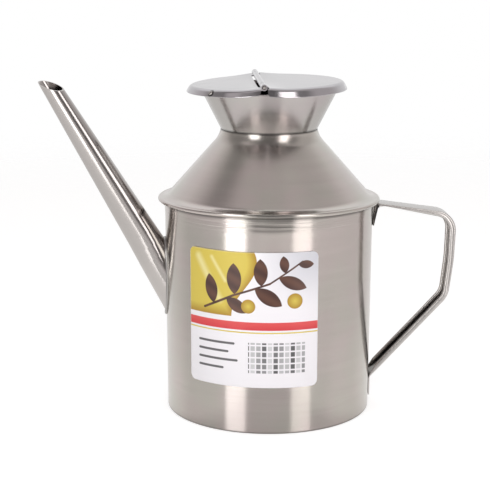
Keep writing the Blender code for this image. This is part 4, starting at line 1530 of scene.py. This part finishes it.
class CRUET_OT_label(bpy.types.Operator):
    """Lay the printed paper label round the wall"""
    bl_idname = "cruet.label"
    bl_label = "Paper label"

    def execute(self, context):
        every = settings()
        can, label = every.can, every.label
        half = label.width / 2
        outline = rounded_path([
            (0, 0, 0), (half, 0, label.corner), (half, label.height, label.corner),
            (-half, label.height, label.corner), (-half, 0, label.corner), (0, 0, 0),
        ], steps=10)[:-1]
        shape = bmesh.new()
        shape.faces.new([shape.verts.new((point.x, point.y, 0)) for point in outline])
        columns, rows = 72, 12
        for step in range(1, columns):
            self.divide(shape, (label.width * (step / columns - 0.5), 0, 0), (1, 0, 0))
        for step in range(1, rows):
            self.divide(shape, (0, label.height * step / rows, 0), (0, 1, 0))
        sheet = shape.loops.layers.uv.new("sheet")
        bmesh.ops.triangulate(shape, faces=[face for face in shape.faces if len(face.verts) > 4])
        for face in shape.faces:
            for loop in face.loops:
                place_at = loop.vert.co
                loop[sheet].uv = (place_at.x / label.width + 0.5, place_at.y / label.height)
        made = bmesh.ops.extrude_face_region(shape, geom=list(shape.faces))
        lifted = [item for item in made["geom"] if isinstance(item, bmesh.types.BMVert)]
        for vertex in lifted:
            vertex.co.z += label.paper
        bmesh.ops.remove_doubles(shape, verts=shape.verts, dist=MERGE)
        for vertex in shape.verts:
            height = label.foot + vertex.co.y
            seat = wall_radius(can, height) + can.gap
            radius = seat + vertex.co.z
            turn = label.azimuth + vertex.co.x / (seat + label.paper)
            vertex.co = (radius * math.cos(turn), radius * math.sin(turn), height)
        paper = place("printed_label", finish_mesh(shape, "printed_label"))
        paper.data.materials.append(label_paper(every))
        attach(paper, VESSEL)
        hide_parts("paper_label")
        return {"FINISHED"}

    def divide(self, shape, point, normal):
        parts = list(shape.verts) + list(shape.edges) + list(shape.faces)
        bmesh.ops.bisect_plane(shape, geom=parts, plane_co=point, plane_no=normal)


# Stage

WHITE = (1.0, 1.0, 1.0)
FLOOR_TONE = (0.60, 0.60, 0.60)

# What the floor shows to mirrored rays: its tone, and its glow under, beside and ahead of the can
MIRRORED_FLOOR_TONE = (0.68, 0.675, 0.67)
FLOOR_DIM = (0.18, 0.18, 0.18)
FLOOR_BESIDE = (0.42, 0.42, 0.41)
FLOOR_AHEAD = (0.62, 0.61, 0.60)

# The floor's zones in metres; its fade is in shares of its radius
FLOOR_FADE = (0.50, 0.98)
AHEAD_AWAY = (0.34, 0.46)
AHEAD_ASIDE = (0.06, 0.20)
BESIDE_NEAR = (0.030, 0.058)
BESIDE_FAR = (0.10, 0.22)
FLOOR_SHEEN = (0.595, 0.675)

# The room's zones as steel mirrors them, in degrees to the left or to both sides of the camera
LOW_DARK_LEFT = (20, 50, 95, 120)
DARK_LEFT = (64, 82, 95, 120)
STRIP_LEFT = (48, 60, 72, 82)
HIGH_DARK_LEFT = (70, 84, 108, 135)
WHITE_WALL = (105, 150)

# The same in degrees above level; the ground's are below it
GROUND = (-1, 3)
LOW_END = (13, 19)
STRIP_UP = (37, 42, 51, 56)
CEILING = (44, 56)
CEILING_RISE_AHEAD = 13
WHITE_WALL_BAND = (1, 5, 22, 34)

# How much green and blue the room's light lacks
GREEN_LACK = 0.055
BLUE_LACK = 0.065


class CRUET_OT_stage(bpy.types.Operator):
    """Set up the camera, the floor, the lamps and the world"""
    bl_idname = "cruet.stage"
    bl_label = "Stage"

    def execute(self, context):
        stage = settings().stage
        context.scene.view_settings.view_transform = "Standard"
        turn = Matrix.Rotation(stage.turn, 4, "Z")
        self.camera(context, stage, turn)
        self.floor(stage)
        for name, side, away, height, watts, tint in (
            ("left_lamp", -1, stage.left_distance, stage.left_height, stage.left_power, stage.left_tint),
            ("right_lamp", 1, stage.right_distance, stage.right_height, stage.right_power, stage.right_tint),
        ):
            swing = turn @ Matrix.Rotation(side * stage.lamp_angle, 4, "Z")
            self.soft_lamp(name, swing, away, height, watts, tint)
        self.fill(stage, turn)
        self.world(context, stage)
        return {"FINISHED"}

    def camera(self, context, stage, turn):
        data = bpy.data.cameras.new("view")
        data.sensor_fit = "HORIZONTAL"
        data.sensor_width = 36
        data.lens = stage.focal
        data.clip_start = 0.01
        camera = bpy.data.objects.new("view", data)
        context.scene.collection.objects.link(camera)
        at = Matrix.Translation((stage.side, -stage.distance, stage.height))
        look = Matrix.Rotation(math.pi / 2 - stage.pitch, 4, "X") @ Matrix.Rotation(stage.roll, 4, "Z")
        camera.matrix_world = turn @ at @ look
        context.scene.camera = camera

    def floor(self, stage):
        """A round pale floor that fades out, and shows its lighter zones only to mirrored rays."""
        shape = bmesh.new()
        bmesh.ops.create_circle(shape, cap_ends=True, segments=96, radius=stage.floor_radius)
        floor = place("floor", finish_mesh(shape, "floor"))
        material, finish = new_finish("pale_floor")
        x, y, _ = finish.axes(finish.coordinates())
        fade = (distance(x, y) / stage.floor_radius).soft(*FLOOR_FADE)
        plain = self.matt(finish, FLOOR_TONE)
        bright = self.matt(finish, FLOOR_TONE, WHITE, 0.60)
        seen = finish.blend(finish.ray("Is Camera Ray"), plain, bright)
        off_middle = abs(x + y * math.tan(-stage.turn))
        ahead = (-y).soft(*AHEAD_AWAY) * (1 - off_middle.soft(*AHEAD_ASIDE))
        beside_can = abs(x).soft(*BESIDE_NEAR) * (1 - 0.45 * abs(x).soft(*BESIDE_FAR))
        glow = finish.mix(ahead, finish.mix(beside_can, FLOOR_DIM, FLOOR_BESIDE), FLOOR_AHEAD)
        pale = self.matt(finish, MIRRORED_FLOOR_TONE, glow, 1.0)
        gloss = finish.add("ShaderNodeBsdfGlossy", None, {"Color": (*WHITE, 1), "Roughness": 0.10})
        facing = finish.add("ShaderNodeLayerWeight", None, {"Blend": 0.5}, "Facing")
        mirrored = finish.blend(0.45 * facing.soft(*FLOOR_SHEEN), pale, gloss)
        whole = finish.blend(finish.ray("Is Glossy Ray"), seen, mirrored)
        finish.close(finish.blend(fade, whole, finish.add("ShaderNodeBsdfTransparent")))
        floor.data.materials.append(material)

    def matt(self, finish, base, glow=(0, 0, 0), strength=0.0):
        """A matt surface that may also glow by itself."""
        return finish.add("ShaderNodeBsdfPrincipled", None, {
            "Base Color": (*base, 1),
            "Roughness": 1.0,
            "Specular IOR Level": 0.0,
            "Emission Color": glow if isinstance(glow, Value) else (*glow, 1),
            "Emission Strength": strength,
        })

    def lamp(self, name, watts, matrix):
        """An area lamp that the camera doesn't see."""
        data = bpy.data.lights.new(name, "AREA")
        data.energy = watts
        lamp = bpy.data.objects.new(name, data)
        bpy.context.scene.collection.objects.link(lamp)
        lamp.visible_camera = False
        lamp.matrix_world = matrix
        return lamp

    def soft_lamp(self, name, swing, away, height, watts, tint):
        """A tall soft lamp that stands on the floor and faces the object."""
        upright = Matrix.Rotation(math.pi / 2, 4, "X")
        lamp = self.lamp(name, watts, swing @ Matrix.Translation((0, -away, height / 2)) @ upright)
        lamp.data.shape = "RECTANGLE"
        lamp.data.size = 2 * away * math.tan(settings().stage.lamp_spread / 2)
        lamp.data.size_y = height
        lamp.data.color = tint

    def fill(self, stage, turn):
        """A broad lamp over the camera that lights paper and floor, and that steel doesn't mirror."""
        tip = turn @ Matrix.Rotation(math.pi / 2 - stage.fill_rise, 4, "X")
        matrix = tip @ Matrix.Translation((0, 0, stage.fill_distance))
        lamp = self.lamp("fill_lamp", stage.fill_power, matrix)
        lamp.data.size = stage.fill_width
        lamp.visible_glossy = False

    def world(self, context, stage):
        """White for the camera, and for light and reflections a plain room with a white wall behind."""
        world = bpy.data.worlds.new("studio")
        context.scene.world = world
        world.use_nodes = True
        finish = Finish(world.node_tree)
        behind, room = self.room(finish, stage)
        seen = finish.ray("Is Camera Ray")
        warm = 1 - behind.most(seen)
        level = room.towards(1, seen)
        tint = finish.vector(level, level * (1 - GREEN_LACK * warm), level * (1 - BLUE_LACK * warm))
        finish.close(finish.add("ShaderNodeBackground", None, {0: tint, 1: 1.0}), "ShaderNodeOutputWorld")

    def room(self, finish, stage):
        """Where the white wall is, and how light the room is, from 0 to 1."""
        x, y, z = finish.axes(finish.coordinates("Generated"))
        right = x.math("ARCTAN2", -y) * math.degrees(1) - math.degrees(stage.turn)
        up = z.math("ARCSINE") * math.degrees(1)
        left, side = -right, abs(right)
        ahead = 1 - side.soft(25, 50)
        behind = side.soft(*WHITE_WALL)
        low = 0.18 + 0.40 * side.soft(22, 55) + 0.08 * right.soft(40, 60)
        low = low - 0.26 * left.band(*LOW_DARK_LEFT)
        middle = 0.17 + 0.10 * side.soft(22, 40) + 0.30 * side.soft(62, 86)
        middle = middle - 0.27 * left.band(*DARK_LEFT)
        middle = middle + 0.36 * left.band(*STRIP_LEFT) * up.band(*STRIP_UP)
        high = 0.60 - 0.30 * left.band(*HIGH_DARK_LEFT) - 0.04 * right.soft(60, 90)
        ceiling = (up - CEILING_RISE_AHEAD * ahead).soft(*CEILING)
        room = low.towards(middle, up.soft(*LOW_END)).towards(high, ceiling)
        room = room.towards(1.0, behind) * (1 - 0.15 * behind * up.band(*WHITE_WALL_BAND))
        return behind, room.towards(0.76, (-up).soft(*GROUND))


class CRUET_PT_panel(bpy.types.Panel):
    """Lists the steps that build the oil cruet"""
    bl_idname = "CRUET_PT_panel"
    bl_label = "Oil Cruet"
    bl_space_type = "VIEW_3D"
    bl_region_type = "UI"
    bl_category = "Oil Cruet"

    def draw(self, context):
        for step in STEPS:
            self.layout.operator(step.bl_idname)


GROUPS = (
    CruetCan, CruetFunnel, CruetLid, CruetSpout, CruetHandle, CruetLabel, CruetSteel, CruetStage,
    CruetSettings,
)
STEPS = (
    CRUET_OT_can, CRUET_OT_shoulder, CRUET_OT_funnel, CRUET_OT_lid, CRUET_OT_hinge,
    CRUET_OT_spout, CRUET_OT_handle, CRUET_OT_label, CRUET_OT_stage,
)


def register():
    for item in GROUPS + STEPS + (CRUET_PT_panel,):
        bpy.utils.register_class(item)
    bpy.types.Scene.oil_cruet = PointerProperty(type=CruetSettings)


def unregister():
    del bpy.types.Scene.oil_cruet
    for item in reversed(GROUPS + STEPS + (CRUET_PT_panel,)):
        bpy.utils.unregister_class(item)


def clear_startup():
    """Removes the objects of Blender's own startup scene."""
    for name in ("Cube", "Light", "Camera"):
        if name in bpy.data.objects:
            bpy.data.objects.remove(bpy.data.objects[name])


def main():
    register()
    clear_startup()
    for step in STEPS:
        group, name = step.bl_idname.split(".")
        getattr(getattr(bpy.ops, group), name)()


if __name__ == "__main__":
    main()
